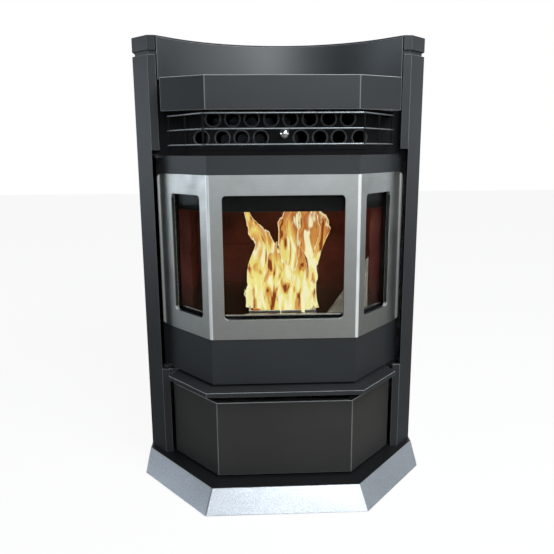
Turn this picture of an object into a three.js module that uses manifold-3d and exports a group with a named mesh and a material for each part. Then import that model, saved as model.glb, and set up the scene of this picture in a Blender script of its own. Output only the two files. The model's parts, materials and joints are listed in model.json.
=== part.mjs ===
// Bay-fronted pellet stove. Millimetres, +Z up, front towards -Y.
// The pieces are drawn with y = 0 at the narrow front strips of the side casings,
// and the last group moves them so that the origin is under the middle of the whole stove.
import * as THREE from 'three';
import { mergeVertices } from 'three/addons/utils/BufferGeometryUtils.js';
import Module from 'manifold-3d';

const wasm = await Module();
wasm.setup();

// ---------- driving dimensions ----------
// Overall. NAME_IN is a step in from the casing side, and NAME_BELOW a drop from the top cover.
const CASING_HALF_WIDTH = 300;
const COVER_TOP = 936.5;

// common
const SEAT_GAP = 0.3; // between pieces that touch
const OVERCUT = 1; // how far a cut or a joined block runs past a face
const CASING_SHEET = 2.5; // steel of the outer casing
const INNER_SHEET = 2; // steel of ducts, hopper and pan
const ROUND_SIDES = 20; // facets of the large round pieces
const SMALL_SIDES = 12; // facets of rods and pins
const TUBE_SIDES = 10;
const WIRE_SIDES = 6;
const ARC_STEPS = 3; // in each rounded corner
const POINT_MERGE = 1e-4;

// side casings
const CASING_CORNER_Y = 37.2; // where the side face meets the corner facet
const STRIP_OUTER_X_IN = 36;
const STRIP_OUTER_X = CASING_HALF_WIDTH - STRIP_OUTER_X_IN;
const STRIP_INNER_X_IN = 52;
const STRIP_INNER_X = CASING_HALF_WIDTH - STRIP_INNER_X_IN;
const CASING_BACK = 380;
const CASING_TOP_BELOW = 36.1;
const CASING_TOP = COVER_TOP - CASING_TOP_BELOW;
const CASING_RETURN = 12; // fold behind each free edge
const LOWER_STRIP_TOP = 243;
const UPPER_STRIP_BOTTOM_BELOW = 221.5;
const UPPER_STRIP_BOTTOM = COVER_TOP - UPPER_STRIP_BOTTOM_BELOW;

// pedestal
const PEDESTAL_HEIGHT = 45;
const PEDESTAL_TOP_HALF_FRONT_IN = 149.5;
const PEDESTAL_TOP_HALF_FRONT = CASING_HALF_WIDTH - PEDESTAL_TOP_HALF_FRONT_IN;
const PEDESTAL_TOP_FRONT = -156;
const PEDESTAL_TOP_CORNER_Y = 24;
const PEDESTAL_LEDGE = 2.5; // beyond the side casings
const PEDESTAL_FLARE = 28.5; // slope of the front and the diagonal faces
const PEDESTAL_SIDE_FLARE = 7.5;
const PEDESTAL_WALL = 4;
const PEDESTAL_FLANGE = 30; // turned in under the edge

// top cover and crown wall
const COVER_SKIRT = 27.4;
const SHADOW_INSET = 5; // collar behind the dark groove
const CROWN_HALF_WIDTH_IN = 55.5;
const CROWN_HALF_WIDTH = CASING_HALF_WIDTH - CROWN_HALF_WIDTH_IN;
const CROWN_DEPTH = 128; // how far the middle of the curved wall lies behind its ends
const CROWN_STEPS = 24;

// hood and deck
const HOOD_BOTTOM_BELOW = 147.5;
const HOOD_BOTTOM = COVER_TOP - HOOD_BOTTOM_BELOW;
const HOOD_TOP_BELOW = 84;
const HOOD_TOP = COVER_TOP - HOOD_TOP_BELOW;
const HOOD_HALF_FRONT_IN = 152.4;
const HOOD_HALF_FRONT = CASING_HALF_WIDTH - HOOD_HALF_FRONT_IN;
const HOOD_FRONT = -81;
const HOOD_ANGLE = 25.6;
const HOOD_WING = 99;
const HOOD_RETURN_Y = 18;
const DECK_BACK = 140;

// bay door
const DOOR_BOTTOM = 247.2;
const DOOR_TOP_BELOW = 232.9;
const DOOR_TOP = COVER_TOP - DOOR_TOP_BELOW;
const DOOR_HALF_FRONT_IN = 154;
const DOOR_HALF_FRONT = CASING_HALF_WIDTH - DOOR_HALF_FRONT_IN;
const DOOR_FRONT = -105.3;
const DOOR_ANGLE = 49.5;
const DOOR_WING = 177.5;
const DOOR_PLATE = 6;
const DOOR_RIM = 14; // depth of the rim round the plate
const DOOR_RIM_WALL = 5;
const TRIM_SHEET = 1.5;
const TRIM_BOTTOM = 342.3;
const TRIM_TOP_BELOW = 268.9;
const TRIM_TOP = COVER_TOP - TRIM_TOP_BELOW;
const TRIM_WING = 166;
const WINDOW_BOTTOM = 382.5;
const WINDOW_TOP_BELOW = 307.8;
const WINDOW_TOP = COVER_TOP - WINDOW_TOP_BELOW;
const WINDOW_RADIUS = 8;
const PANE_CORNER = 1;
const CENTRE_WINDOW_HALF_IN = 27;
const CENTRE_WINDOW_HALF = DOOR_HALF_FRONT - CENTRE_WINDOW_HALF_IN;
const SIDE_WINDOW_NEAR = 24; // along the side facet, from the bend
const SIDE_WINDOW_FAR = 123;
const GLASS_THICKNESS = 4;
const GLASS_OVERLAP = 9; // of the glass behind the trim
const GASKET_WIDTH = 7;
const GASKET_THICKNESS = 2;
const ROPE_WIDTH = 9;
const ROPE_DEPTH = 6.4;
const ROPE_MARGIN = 8; // rope outside the firebox opening
const HINGE_IN = 20; // hinge axis from the far edge, along the side facet
const HINGE_OUT = 8; // hinge axis in front of the side facet
const PIN_RADIUS = 3;
const PIN_CLEARANCE = 0.4;
const PIN_LENGTH = 10; // beyond the bracket or lever
const EAR_RADIUS = 7;
const EAR_THICKNESS = 4;
const BRACKET_THICKNESS = 3;
const BRACKET_GAP = 0.6; // between a door ear and its bracket
const LATCH_ALONG = 100; // latch pivot along the side facet
const LATCH_THICKNESS = 2.6;
const LATCH_WIDTH = 10;
const LATCH_REACH = 24; // cam end
const LATCH_LEVER = 36; // finger end

// firebox
const SHELL_WALL = 4;
const SHELL_SIDE_X_IN = 77;
const SHELL_SIDE_X = CASING_HALF_WIDTH - SHELL_SIDE_X_IN;
const SHELL_BACK = 192;
const SHELL_TOP_BELOW = 232.5;
const SHELL_TOP = COVER_TOP - SHELL_TOP_BELOW;
const FIRE_FLOOR = 303;
const AIR_BOX_FLOOR = 236;
const ASH_ROOF = 232;
const OPENING_BOTTOM = 387; // top of the sill behind the glass
const SEAL_BOTTOM = 371; // lower edge of the ground on which the rope presses
const OPENING_TOP_BELOW = 295.5;
const OPENING_TOP = COVER_TOP - OPENING_TOP_BELOW;
const OPENING_WING = 131;
const BRICK_COURSE = 96.5;
const BRICK_COURSES = 3;
const BRICK_THICKNESS = 25;
const BRICK_JOINT = 3;
const BRICK_SIDE_FRONT = 30;
const AIR_WASH_SIDE_GAP = 2;
const AIR_WASH_BOTTOM_BELOW = 341;
const AIR_WASH_BOTTOM = COVER_TOP - AIR_WASH_BOTTOM_BELOW;
const POT_HALF_WIDTH = 71;
const POT_FRONT = -35;
const POT_DEPTH = 100;
const POT_TOP = 382.5;
const POT_WALL = 4;
const POT_FLOOR = 336;
const POT_SLOTS = [-2, -1, 0, 1, 2];
const POT_SLOT_PITCH = 23.5;
const POT_SLOT_HALF_WIDTH = 3;
const PELLET_DEPTH = 28;
const IGNITER_RADIUS = 5;
const IGNITER_Z = 322;
const IGNITER_LENGTH = 140;
const IGNITER_CLEARANCE = 1;

// heat exchanger
const EXCHANGER_HALF_WIDTH = 190;
const EXCHANGER_TOP_BELOW = 130.5;
const EXCHANGER_TOP = COVER_TOP - EXCHANGER_TOP_BELOW;
const EXCHANGER_FRONT = 5;
const SHEET_BOTTOM_BELOW = 222;
const SHEET_BOTTOM = COVER_TOP - SHEET_BOTTOM_BELOW;
const SHEET_CORNER = 14;
const SHEET_THICKNESS = 3;
const TUBE_RADIUS = 17;
const TUBE_BORE_RADIUS = 13.5;
const TUBE_PITCH = 39.4;
const UPPER_TUBE_Z_BELOW = 160.5;
const UPPER_TUBE_Z = COVER_TOP - UPPER_TUBE_Z_BELOW;
const LOWER_TUBE_Z_BELOW = 198.2;
const LOWER_TUBE_Z = COVER_TOP - LOWER_TUBE_Z_BELOW;
const LOWER_TUBES_X = [41, 80.5, 119.5, 162];
const UPPER_TUBES_PER_SIDE = 4;
const CHEEK_Y = 22;
const ROD_RADIUS = 3;
const ROD_Z_BELOW = 193.5;
const ROD_Z = COVER_TOP - ROD_Z_BELOW;
const ROD_CLEARANCE = 0.8;
const KNOB_RADIUS = 9;
const KNOB_Y = -134;
const KNOB_FLAT_Y = KNOB_Y + 8.1; // flat face that meets the rod
const KNOB_SEGMENTS = 14;
const KNOB_RINGS = 9;
const SCRAPER_THICKNESS = 3;
const SCRAPER_CLEARANCE = 1;
const SCRAPER_REST_GAP = 6; // from the rear tube sheet

// outlet grille
const WIRE_RADIUS = 1.8;
const WIRE_DROPS = [156, 184, 212.3]; // below the cover
const WIRE_HEIGHTS = WIRE_DROPS.map((drop) => COVER_TOP - drop);
const WIRE_HALF_FRONT_IN = 151.7;
const WIRE_HALF_FRONT = CASING_HALF_WIDTH - WIRE_HALF_FRONT_IN;
const WIRE_FRONT = -122.2;
const WIRE_ANGLE = 53.7;
const WIRE_WING = 133;
const GRILLE_POST_RADIUS = 2.2;
const GRILLE_POST_WINGS = [2, 66]; // along the side run, from the bend
const GRILLE_END_WING = 129;

// shelf lip and ash drawer
const LIP_TOP = 241.3;
const LIP_SHEET = 3;
const LIP_DROP = 9;
const LIP_HALF_FRONT_IN = 142.1;
const LIP_HALF_FRONT = CASING_HALF_WIDTH - LIP_HALF_FRONT_IN;
const LIP_FRONT = -137.9;
const LIP_ANGLE = 49.2;
const LIP_WING = 134;
const LIP_ROOT_WING = 140; // where it meets the firebox front
const DRAWER_HALF_FRONT_IN = 160.6;
const DRAWER_HALF_FRONT = CASING_HALF_WIDTH - DRAWER_HALF_FRONT_IN;
const DRAWER_FRONT = -114.6;
const DRAWER_ANGLE = 48.9;
const DRAWER_WING = 154;
const DRAWER_BOTTOM = 49;
const DRAWER_TOP = 210.3;
const DRAWER_LIP = 14;
const PAN_HALF_WIDTH_IN = 25;
const PAN_HALF_WIDTH = SHELL_SIDE_X - PAN_HALF_WIDTH_IN;
const PAN_BACK = 168;
const PAN_TOP = 176;

// hopper and lid
const HOPPER_HALF_WIDTH = 180;
const HOPPER_FRONT = 152;
const HOPPER_BACK = 366;
const HOPPER_BEND_Z_BELOW = 56.5;
const HOPPER_BEND_Z = COVER_TOP - HOPPER_BEND_Z_BELOW;
const HOPPER_STEP_Y = 240;
const HOPPER_STEP_Z_BELOW = 124.5;
const HOPPER_STEP_Z = COVER_TOP - HOPPER_STEP_Z_BELOW;
const HOPPER_LOWER_Z_BELOW = 276.5;
const HOPPER_LOWER_Z = COVER_TOP - HOPPER_LOWER_Z_BELOW;
const THROAT_HALF_WIDTH = 28;
const THROAT_FRONT = 285;
const THROAT_BACK = 331;
const THROAT_Z = 470;
const HOPPER_FLANGE = 8;
const LID_HALF_WIDTH = 174;
const LID_FRONT = 164;
const LID_BACK = 350;
const LID_REVEAL = 2;
const LID_PULL_HEIGHT = 9;
const LID_PULL_HALF_WIDTH = 58;
const LID_PULL_Y = LID_FRONT + 45;
const LID_PULL_REACH = 18; // towards the front
const LID_PULL_POST = 3;
const LID_PULL_SHEET = 2;
const LID_AXIS_Y = 356;
const LID_AXIS_RISE = 5;
const LID_AXIS_Z = COVER_TOP + LID_AXIS_RISE;
const KNUCKLE_RADIUS = 4.5;
const KNUCKLE_LENGTH = 40;
const KNUCKLE_X = 120;
const LID_ROD_RADIUS = 2.5;
const GUARD_Z_BELOW = 50.5;
const GUARD_Z = COVER_TOP - GUARD_Z_BELOW;
const GUARD_BAR = 6;
const GUARD_COLUMNS = 6;
const GUARD_ROWS = 3;

// pellet feed
const FEED_TILT = 55; // of the auger, above level
const FEED_START_Y = 334;
const FEED_START_Z = 290;
const FEED_LENGTH = 190;
const FEED_RADIUS = 27;
const FEED_WALL = 2;
const SCREW_RADIUS = 22;
const SCREW_SHAFT_RADIUS = 7;
const SCREW_PITCH = 38;
const FLIGHT_THICKNESS = 3;
const FLIGHT_STEPS = 10; // for each turn
const CHUTE_HALF_WIDTH = 29;
const CHUTE_HEIGHT = 40;
const CHUTE_TOP_Y = 222;
const CHUTE_TOP_Z = 482;
const CHUTE_MOUTH_Y = 146;
const CHUTE_MOUTH_Z = 420;
const CHUTE_CLEARANCE = 2;
const MOTOR_HALF_SIDE = 24;
const MOTOR_LENGTH = 34;
const MOTOR_CAN_RADIUS = 17;
const SHAFT_CLEARANCE = 1;

// smoke path
const BLOWER_X = 170;
const BLOWER_Z = 160;
const BLOWER_RADIUS = 70;
const BLOWER_FRONT = 232;
const BLOWER_BACK = 290;
const IMPELLER_RADIUS = 56;
const IMPELLER_BLADES = 8;
const IMPELLER_FRONT_GAP = 10;
const IMPELLER_BACK_GAP = 8;
const BLADE_HALF_THICKNESS = 1;
const BLOWER_SHAFT_RADIUS = 4;
const BLOWER_INLET_RADIUS = 32;
const SMOKE_DUCT_INNER_X_IN = 74;
const SMOKE_DUCT_INNER_X = CASING_HALF_WIDTH - SMOKE_DUCT_INNER_X_IN;
const SMOKE_DUCT_OUTER_X_IN = 10;
const SMOKE_DUCT_OUTER_X = CASING_HALF_WIDTH - SMOKE_DUCT_OUTER_X_IN;
const SMOKE_DUCT_FRONT = 110;
const SMOKE_DUCT_BACK = 176;
const DUCT_OVERLAP = 8;
const SMOKE_DUCT_TOP_BELOW = 140.5;
const SMOKE_DUCT_TOP = COVER_TOP - SMOKE_DUCT_TOP_BELOW;
const SMOKE_PORT_BOTTOM_BELOW = 216.5;
const SMOKE_PORT_BOTTOM = COVER_TOP - SMOKE_PORT_BOTTOM_BELOW;
const FLUE_X = 62;
const FLUE_RADIUS = 40;
const FLUE_BACK = 444.5;
const INLET_X = -110;
const INLET_Z = 268;
const INLET_RADIUS = 25;
const INLET_BACK = 410;

// room-air path
const AIR_DUCT_OUTER_X_IN = 12;
const AIR_DUCT_OUTER_X = CASING_HALF_WIDTH - AIR_DUCT_OUTER_X_IN;
const AIR_DUCT_WIDTH = 78;
const AIR_DUCT_FRONT = 236;
const AIR_DUCT_BACK = 300;
const AIR_DUCT_BOTTOM = 192;
const PLENUM_BACK = 235;
const PLENUM_BOTTOM_BELOW = 228.5;
const PLENUM_BOTTOM = COVER_TOP - PLENUM_BOTTOM_BELOW;
const FAN_Y = 285;
const FAN_Z = 122;
const FAN_RADIUS = 60;
const FAN_WHEEL_RADIUS = 47;
const FAN_BLADES = 12;
const FAN_LENGTH = 130;
const FAN_INTAKE_RADIUS = 38;
const FAN_AXLE_LENGTH = 16;
const FAN_WHEEL_GAP = 10; // at each end
const FAN_HUB_RADIUS = 12;

// controls
const PANEL_Y = 285;
const PANEL_Z_BELOW = 176.5;
const PANEL_Z = COVER_TOP - PANEL_Z_BELOW;
const PANEL_WIDTH = 90;
const PANEL_HEIGHT = 150;
const PANEL_THICKNESS = 10;
const PANEL_STAND = 1.5; // proud of the side casing
const DISPLAY_HALF_WIDTH = 30;
const DISPLAY_Z = PANEL_Z + 42.5; // middle of the display
const DISPLAY_HALF_HEIGHT = 17.5;
const BUTTON_Z = PANEL_Z - 37.5; // middle button
const BUTTON_RADIUS = 8;
const BUTTON_LENGTH = 6;
const BUTTON_STAND = 2;
const BUTTON_CLEARANCE = 0.5;
const BUTTON_WELL_GAP = 1.2; // behind each button
const BUTTON_PITCH = 28;
const SOCKET_X = -60;
const SOCKET_Z = 120;
const SOCKET_WIDTH = 48;
const SOCKET_HEIGHT = 28;
const SOCKET_DEPTH = 22;
const SOCKET_WALL = 3;
const SOCKET_FLOOR = 4;
const SOCKET_PIN_PITCH = 10;
const SOCKET_PIN_HALF_WIDTH = 1;
const SOCKET_PIN_HALF_HEIGHTS = [5, 3, 5];
const SOCKET_PIN_SET_BACK = 6;
const LOUVRE_COUNT = 7;
const LOUVRE_WIDTH = 110;
const LOUVRE_HEIGHT = 6;
const LOUVRE_PITCH = 16;
const LOUVRE_X_IN = 85;
const LOUVRE_X = LOUVRE_X_IN - CASING_HALF_WIDTH;
const LOUVRE_Z = 80;
const OPENING_CLEARANCE = 2; // round pipes and panels in the casing

// ---------- solids ----------
const radians = THREE.MathUtils.degToRad;

function bare(geometry) {
  const flat = geometry.index ? geometry.toNonIndexed() : geometry.clone();
  const position = new THREE.BufferGeometry();
  position.setAttribute('position', flat.getAttribute('position'));
  return mergeVertices(position, POINT_MERGE);
}

function solidOf(geometry) {
  const closed = bare(geometry);
  return new wasm.Manifold(new wasm.Mesh({
    numProp: 3,
    vertProperties: new Float32Array(closed.attributes.position.array),
    triVerts: new Uint32Array(closed.index.array),
  }));
}

function geometryOf(solid) {
  const mesh = solid.getMesh();
  const points = new Float32Array(mesh.numVert * 3);
  for (let i = 0; i < mesh.numVert; i += 1) {
    for (let k = 0; k < 3; k += 1) {
      points[3 * i + k] = mesh.vertProperties[mesh.numProp * i + k];
    }
  }
  const geometry = new THREE.BufferGeometry();
  geometry.setAttribute('position', new THREE.BufferAttribute(points, 3));
  geometry.setIndex(new THREE.BufferAttribute(new Uint32Array(mesh.triVerts), 1));
  return geometry;
}

function join(...parts) {
  return geometryOf(parts.map(solidOf).reduce((whole, part) => whole.add(part)));
}

function cut(body, ...tools) {
  return geometryOf(tools.map(solidOf).reduce((rest, tool) => rest.subtract(tool), solidOf(body)));
}

function common(first, second) {
  return geometryOf(solidOf(first).intersect(solidOf(second)));
}

// A box from its low and high corners.
function block(x0, x1, y0, y1, z0, z1) {
  const geometry = new THREE.BoxGeometry(x1 - x0, y1 - y0, z1 - z0);
  return geometry.translate((x0 + x1) / 2, (y0 + y1) / 2, (z0 + z1) / 2);
}

function shapeOf(points) {
  return new THREE.Shape(points.map(([a, b]) => new THREE.Vector2(a, b)));
}

// A plan outline carried straight up.
function upright(points, z0, z1) {
  const geometry = new THREE.ExtrudeGeometry(shapeOf(points), { depth: z1 - z0, bevelEnabled: false });
  return geometry.translate(0, 0, z0);
}

// A side-view outline of (y, z) points carried along X.
function sideways(points, x0, x1) {
  const geometry = new THREE.ExtrudeGeometry(shapeOf(points), { depth: x1 - x0, bevelEnabled: false });
  const turn = new THREE.Matrix4().makeBasis(
    new THREE.Vector3(0, 1, 0),
    new THREE.Vector3(0, 0, 1),
    new THREE.Vector3(1, 0, 0),
  );
  return geometry.applyMatrix4(turn).translate(x0, 0, 0);
}

// A front-view outline of (x, z) points, or a ready shape, carried along Y.
function endways(outline, y0, y1) {
  const shape = Array.isArray(outline) ? shapeOf(outline) : outline;
  const settings = { depth: y1 - y0, bevelEnabled: false, curveSegments: ARC_STEPS };
  const geometry = new THREE.ExtrudeGeometry(shape, settings);
  return geometry.rotateX(Math.PI / 2).translate(0, y1, 0);
}

// A round bar between two points.
function bar(from, to, radius, sides = SMALL_SIDES) {
  const start = new THREE.Vector3(...from);
  const along = new THREE.Vector3(...to).sub(start);
  const geometry = new THREE.CylinderGeometry(radius, radius, along.length(), sides);
  const upwards = new THREE.Vector3(0, 1, 0);
  const turn = new THREE.Quaternion().setFromUnitVectors(upwards, along.clone().normalize());
  geometry.applyQuaternion(turn);
  const middle = start.addScaledVector(along, 0.5);
  return geometry.translate(middle.x, middle.y, middle.z);
}

function roundedShape(a0, a1, b0, b1, radius) {
  const shape = new THREE.Shape();
  shape.moveTo(a0 + radius, b0);
  shape.lineTo(a1 - radius, b0);
  shape.absarc(a1 - radius, b0 + radius, radius, -Math.PI / 2, 0, false);
  shape.lineTo(a1, b1 - radius);
  shape.absarc(a1 - radius, b1 - radius, radius, 0, Math.PI / 2, false);
  shape.lineTo(a0 + radius, b1);
  shape.absarc(a0 + radius, b1 - radius, radius, Math.PI / 2, Math.PI, false);
  shape.lineTo(a0, b0 + radius);
  shape.absarc(a0 + radius, b0 + radius, radius, Math.PI, 1.5 * Math.PI, false);
  return shape;
}

// The same solid on the other side of the middle plane.
function mirrored(geometry) {
  const flat = geometry.index ? geometry.toNonIndexed() : geometry.clone();
  const points = flat.getAttribute('position');
  const turned = new Float32Array(points.count * 3);
  for (let i = 0; i < points.count; i += 3) {
    [0, 2, 1].forEach((from, to) => {
      turned[3 * (i + to)] = -points.getX(i + from);
      turned[3 * (i + to) + OVERCUT] = points.getY(i + from);
      turned[3 * (i + to) + 2] = points.getZ(i + from);
    });
  }
  const geometryOut = new THREE.BufferGeometry();
  geometryOut.setAttribute('position', new THREE.BufferAttribute(turned, 3));
  return geometryOut;
}

// ---------- plan lines ----------
// An open line moved to its left by a distance, with mitred bends.
function offsetLine(points, distance) {
  return points.map((point, i) => {
    const before = points[Math.max(i - 1, 0)];
    const here = points[i];
    const after = points[Math.min(i + 1, points.length - 1)];
    const normals = [[before, here], [here, after]]
      .filter(([a, b]) => a !== b)
      .map(([a, b]) => {
        const length = Math.hypot(b[0] - a[0], b[1] - a[1]);
        return [-(b[1] - a[1]) / length, (b[0] - a[0]) / length];
      });
    const first = normals[0];
    const last = normals[normals.length - 1];
    const scale = distance / (1 + first[0] * last[0] + first[1] * last[1]);
    return [point[0] + scale * (first[0] + last[0]), point[1] + scale * (first[1] + last[1])];
  });
}

// The closed outline between two offsets of a line.
function band(line, near, far) {
  return [...offsetLine(line, near), ...offsetLine(line, far).reverse()];
}

// A three-facet bay line, from its left end to its right end.
function bayLine(halfFront, frontY, angle, wing) {
  const farX = halfFront + wing * Math.cos(radians(angle));
  const farY = frontY + wing * Math.sin(radians(angle));
  return [[-farX, farY], [-halfFront, frontY], [halfFront, frontY], [farX, farY]];
}

// A bay outline that runs back to a straight rear edge.
function bayOutline(halfFront, frontY, halfWidth, cornerY, backY) {
  return [
    [-halfWidth, backY], [-halfWidth, cornerY], [-halfFront, frontY],
    [halfFront, frontY], [halfWidth, cornerY], [halfWidth, backY],
  ];
}

// A solid between two plan outlines with as many points.
function loft(lower, z0, upper, z1) {
  const count = lower.length;
  const points = [...lower.map(([x, y]) => [x, y, z0]), ...upper.map(([x, y]) => [x, y, z1])];
  const faces = [];
  for (let i = 0; i < count; i += 1) {
    const next = (i + 1) % count;
    faces.push([i, next, count + next], [i, count + next, count + i]);
  }
  for (let i = 1; i < count - 1; i += 1) {
    faces.push([0, i + 1, i], [count, count + i, count + i + 1]);
  }
  const geometry = new THREE.BufferGeometry();
  geometry.setAttribute('position', new THREE.Float32BufferAttribute(points.flat(), 3));
  geometry.setIndex(faces.flat());
  return geometry;
}

// Puts a solid on the right wing of the door. It is drawn with x along the wing and y inwards.
function onRightWing(geometry) {
  return geometry.clone().rotateZ(radians(DOOR_ANGLE)).translate(DOOR_HALF_FRONT, DOOR_FRONT, 0);
}

// ---------- materials and pieces ----------
function paint(color, roughness, metalness) {
  return { color, roughness, metalness };
}

const BLACK_COAT = paint(0x2b2d30, 0.5, 0.3);
const DARK_STEEL = paint(0x1b1c1e, 0.6, 0.5);
const PEDESTAL_COAT = paint(0x4a4d52, 0.5, 0.6);
const BRUSHED_STEEL = paint(0x9a9a96, 0.35, 1);
const BRIGHT_STEEL = paint(0xd8d8d6, 0.15, 1);
const GALVANISED = paint(0x8c9094, 0.5, 0.8);
const FIREBRICK = paint(0x7a3a26, 0.9, 0);
const GLASS = paint(0x20242a, 0.05, 0);
const FIBREGLASS = paint(0xb8b4aa, 0.95, 0);
const EMBERS = paint(0xc05818, 0.9, 0);
const BLACK_PLASTIC = paint(0x151515, 0.5, 0);
const RED_PLASTIC = paint(0xa02018, 0.5, 0);

const fixed = new THREE.Group();
const door = new THREE.Group();
const lid = new THREE.Group();
const drawer = new THREE.Group();
const rodSlide = new THREE.Group();

function piece(name, geometry, finish, group = fixed) {
  const shown = geometry.index ? geometry.toNonIndexed() : geometry;
  shown.computeVertexNormals();
  const mesh = new THREE.Mesh(shown, new THREE.MeshStandardMaterial(finish));
  mesh.name = name;
  group.add(mesh);
  return mesh;
}

// ---------- casing ----------
const CASING_PLAN = [
  [STRIP_INNER_X, 0],
  [STRIP_OUTER_X, 0],
  [CASING_HALF_WIDTH, CASING_CORNER_Y],
  [CASING_HALF_WIDTH, CASING_BACK],
];
const casingBottom = PEDESTAL_HEIGHT + SEAT_GAP;
const casingInside = CASING_HALF_WIDTH - CASING_SHEET - SEAT_GAP;

function pedestalOutline(flare, sideFlare, inset) {
  const angle = Math.atan2(
    PEDESTAL_TOP_CORNER_Y - PEDESTAL_TOP_FRONT,
    CASING_HALF_WIDTH + PEDESTAL_LEDGE - PEDESTAL_TOP_HALF_FRONT,
  );
  const grow = flare - inset;
  const sideX = CASING_HALF_WIDTH + PEDESTAL_LEDGE + sideFlare - inset;
  const halfFront = PEDESTAL_TOP_HALF_FRONT + grow * Math.tan(angle / 2);
  const frontY = PEDESTAL_TOP_FRONT - grow;
  const cornerY = frontY + (sideX - halfFront) * Math.tan(angle);
  const backY = CASING_BACK + CASING_SHEET + PEDESTAL_LEDGE + sideFlare - inset;
  return bayOutline(halfFront, frontY, sideX, cornerY, backY).reverse();
}

function pedestal() {
  const foot = pedestalOutline(PEDESTAL_FLARE, PEDESTAL_SIDE_FLARE, 0);
  const top = pedestalOutline(0, 0, 0);
  const body = loft(foot.reverse(), 0, top.reverse(), PEDESTAL_HEIGHT);
  const innerFoot = pedestalOutline(PEDESTAL_FLARE, PEDESTAL_SIDE_FLARE, PEDESTAL_WALL).reverse();
  const innerTop = pedestalOutline(0, 0, PEDESTAL_WALL).reverse();
  const hollow = loft(innerFoot, PEDESTAL_WALL, innerTop, PEDESTAL_HEIGHT - PEDESTAL_WALL);
  const mouth = pedestalOutline(PEDESTAL_FLARE, PEDESTAL_SIDE_FLARE, PEDESTAL_FLANGE).reverse();
  return cut(body, hollow, upright(mouth, -OVERCUT, PEDESTAL_WALL + OVERCUT));
}
piece('pedestal_base', pedestal(), PEDESTAL_COAT);

function sideCasing() {
  const wall = [
    [STRIP_INNER_X, CASING_RETURN],
    ...CASING_PLAN,
    [CASING_HALF_WIDTH - CASING_RETURN, CASING_BACK],
  ];
  const body = upright(band(wall, 0, CASING_SHEET), casingBottom, CASING_TOP);
  const doorway = block(
    STRIP_INNER_X - OVERCUT,
    STRIP_OUTER_X,
    -OVERCUT,
    CASING_RETURN + OVERCUT,
    LOWER_STRIP_TOP,
    UPPER_STRIP_BOTTOM,
  );
  const ledge = upright(band(CASING_PLAN, 0, CASING_RETURN), CASING_TOP - CASING_SHEET, CASING_TOP);
  const tab = block(
    STRIP_INNER_X,
    STRIP_OUTER_X,
    CASING_SHEET / 2,
    CASING_RETURN,
    LOWER_STRIP_TOP - CASING_SHEET,
    LOWER_STRIP_TOP,
  );
  return join(cut(body, doorway), ledge, tab);
}

const rightCasing = cut(sideCasing(), block(
  CASING_HALF_WIDTH - CASING_SHEET - OVERCUT,
  CASING_HALF_WIDTH + OVERCUT,
  PANEL_Y - PANEL_WIDTH / 2 - SEAT_GAP,
  PANEL_Y + PANEL_WIDTH / 2 + SEAT_GAP,
  PANEL_Z - PANEL_HEIGHT / 2 - SEAT_GAP,
  PANEL_Z + PANEL_HEIGHT / 2 + SEAT_GAP,
));
piece('side_panel_right', rightCasing, BLACK_COAT);
piece('side_panel_left', mirrored(sideCasing()), BLACK_COAT);

const rearFace = CASING_BACK + SEAT_GAP;
const rearBack = rearFace + CASING_SHEET;

function rearPanel() {
  const sheet = block(-casingInside, casingInside, rearFace, rearBack, casingBottom, CASING_TOP);
  const openings = [
    bar([FLUE_X, rearFace - OVERCUT, BLOWER_Z], [FLUE_X, rearBack + OVERCUT, BLOWER_Z],
      FLUE_RADIUS + OPENING_CLEARANCE, ROUND_SIDES),
    bar([INLET_X, rearFace - OVERCUT, INLET_Z], [INLET_X, rearBack + OVERCUT, INLET_Z],
      INLET_RADIUS + OPENING_CLEARANCE, ROUND_SIDES),
    block(
      SOCKET_X - SOCKET_WIDTH / 2 - SEAT_GAP,
      SOCKET_X + SOCKET_WIDTH / 2 + SEAT_GAP,
      rearFace - OVERCUT,
      rearBack + OVERCUT,
      SOCKET_Z - SOCKET_HEIGHT / 2 - SEAT_GAP,
      SOCKET_Z + SOCKET_HEIGHT / 2 + SEAT_GAP,
    ),
  ];
  for (let i = 0; i < LOUVRE_COUNT; i += 1) {
    const z = LOUVRE_Z + i * LOUVRE_PITCH;
    openings.push(block(
      LOUVRE_X - LOUVRE_WIDTH / 2,
      LOUVRE_X + LOUVRE_WIDTH / 2,
      rearFace - OVERCUT,
      rearBack + OVERCUT,
      z,
      z + LOUVRE_HEIGHT,
    ));
  }
  return cut(sheet, ...openings);
}
piece('rear_panel', rearPanel(), BLACK_COAT);

// The curved front edge of the top cover, from right to left.
const crownRadius = (CROWN_HALF_WIDTH ** 2 + CROWN_DEPTH ** 2) / (2 * CROWN_DEPTH);
const crownCentreY = CROWN_DEPTH - crownRadius;
const crownSweep = Math.asin(CROWN_HALF_WIDTH / crownRadius);

function crownArc(radius) {
  const points = [];
  for (let i = 0; i <= CROWN_STEPS; i += 1) {
    const angle = crownSweep * (1 - (2 * i) / CROWN_STEPS);
    points.push([radius * Math.sin(angle), crownCentreY + radius * Math.cos(angle)]);
  }
  return points;
}

const coverPlan = [
  ...CASING_PLAN.slice(0, 3),
  [CASING_HALF_WIDTH, rearBack],
  [-CASING_HALF_WIDTH, rearBack],
  ...CASING_PLAN.slice(0, 3).reverse().map(([x, y]) => [-x, y]),
];

// The room inside the side casings between two heights.
function insideCasing(z0, z1) {
  return upright(offsetLine(coverPlan, CASING_SHEET + SEAT_GAP), z0, z1);
}

const coverPlate = COVER_TOP - CASING_SHEET;
const skirtBottom = COVER_TOP - COVER_SKIRT;

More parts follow.
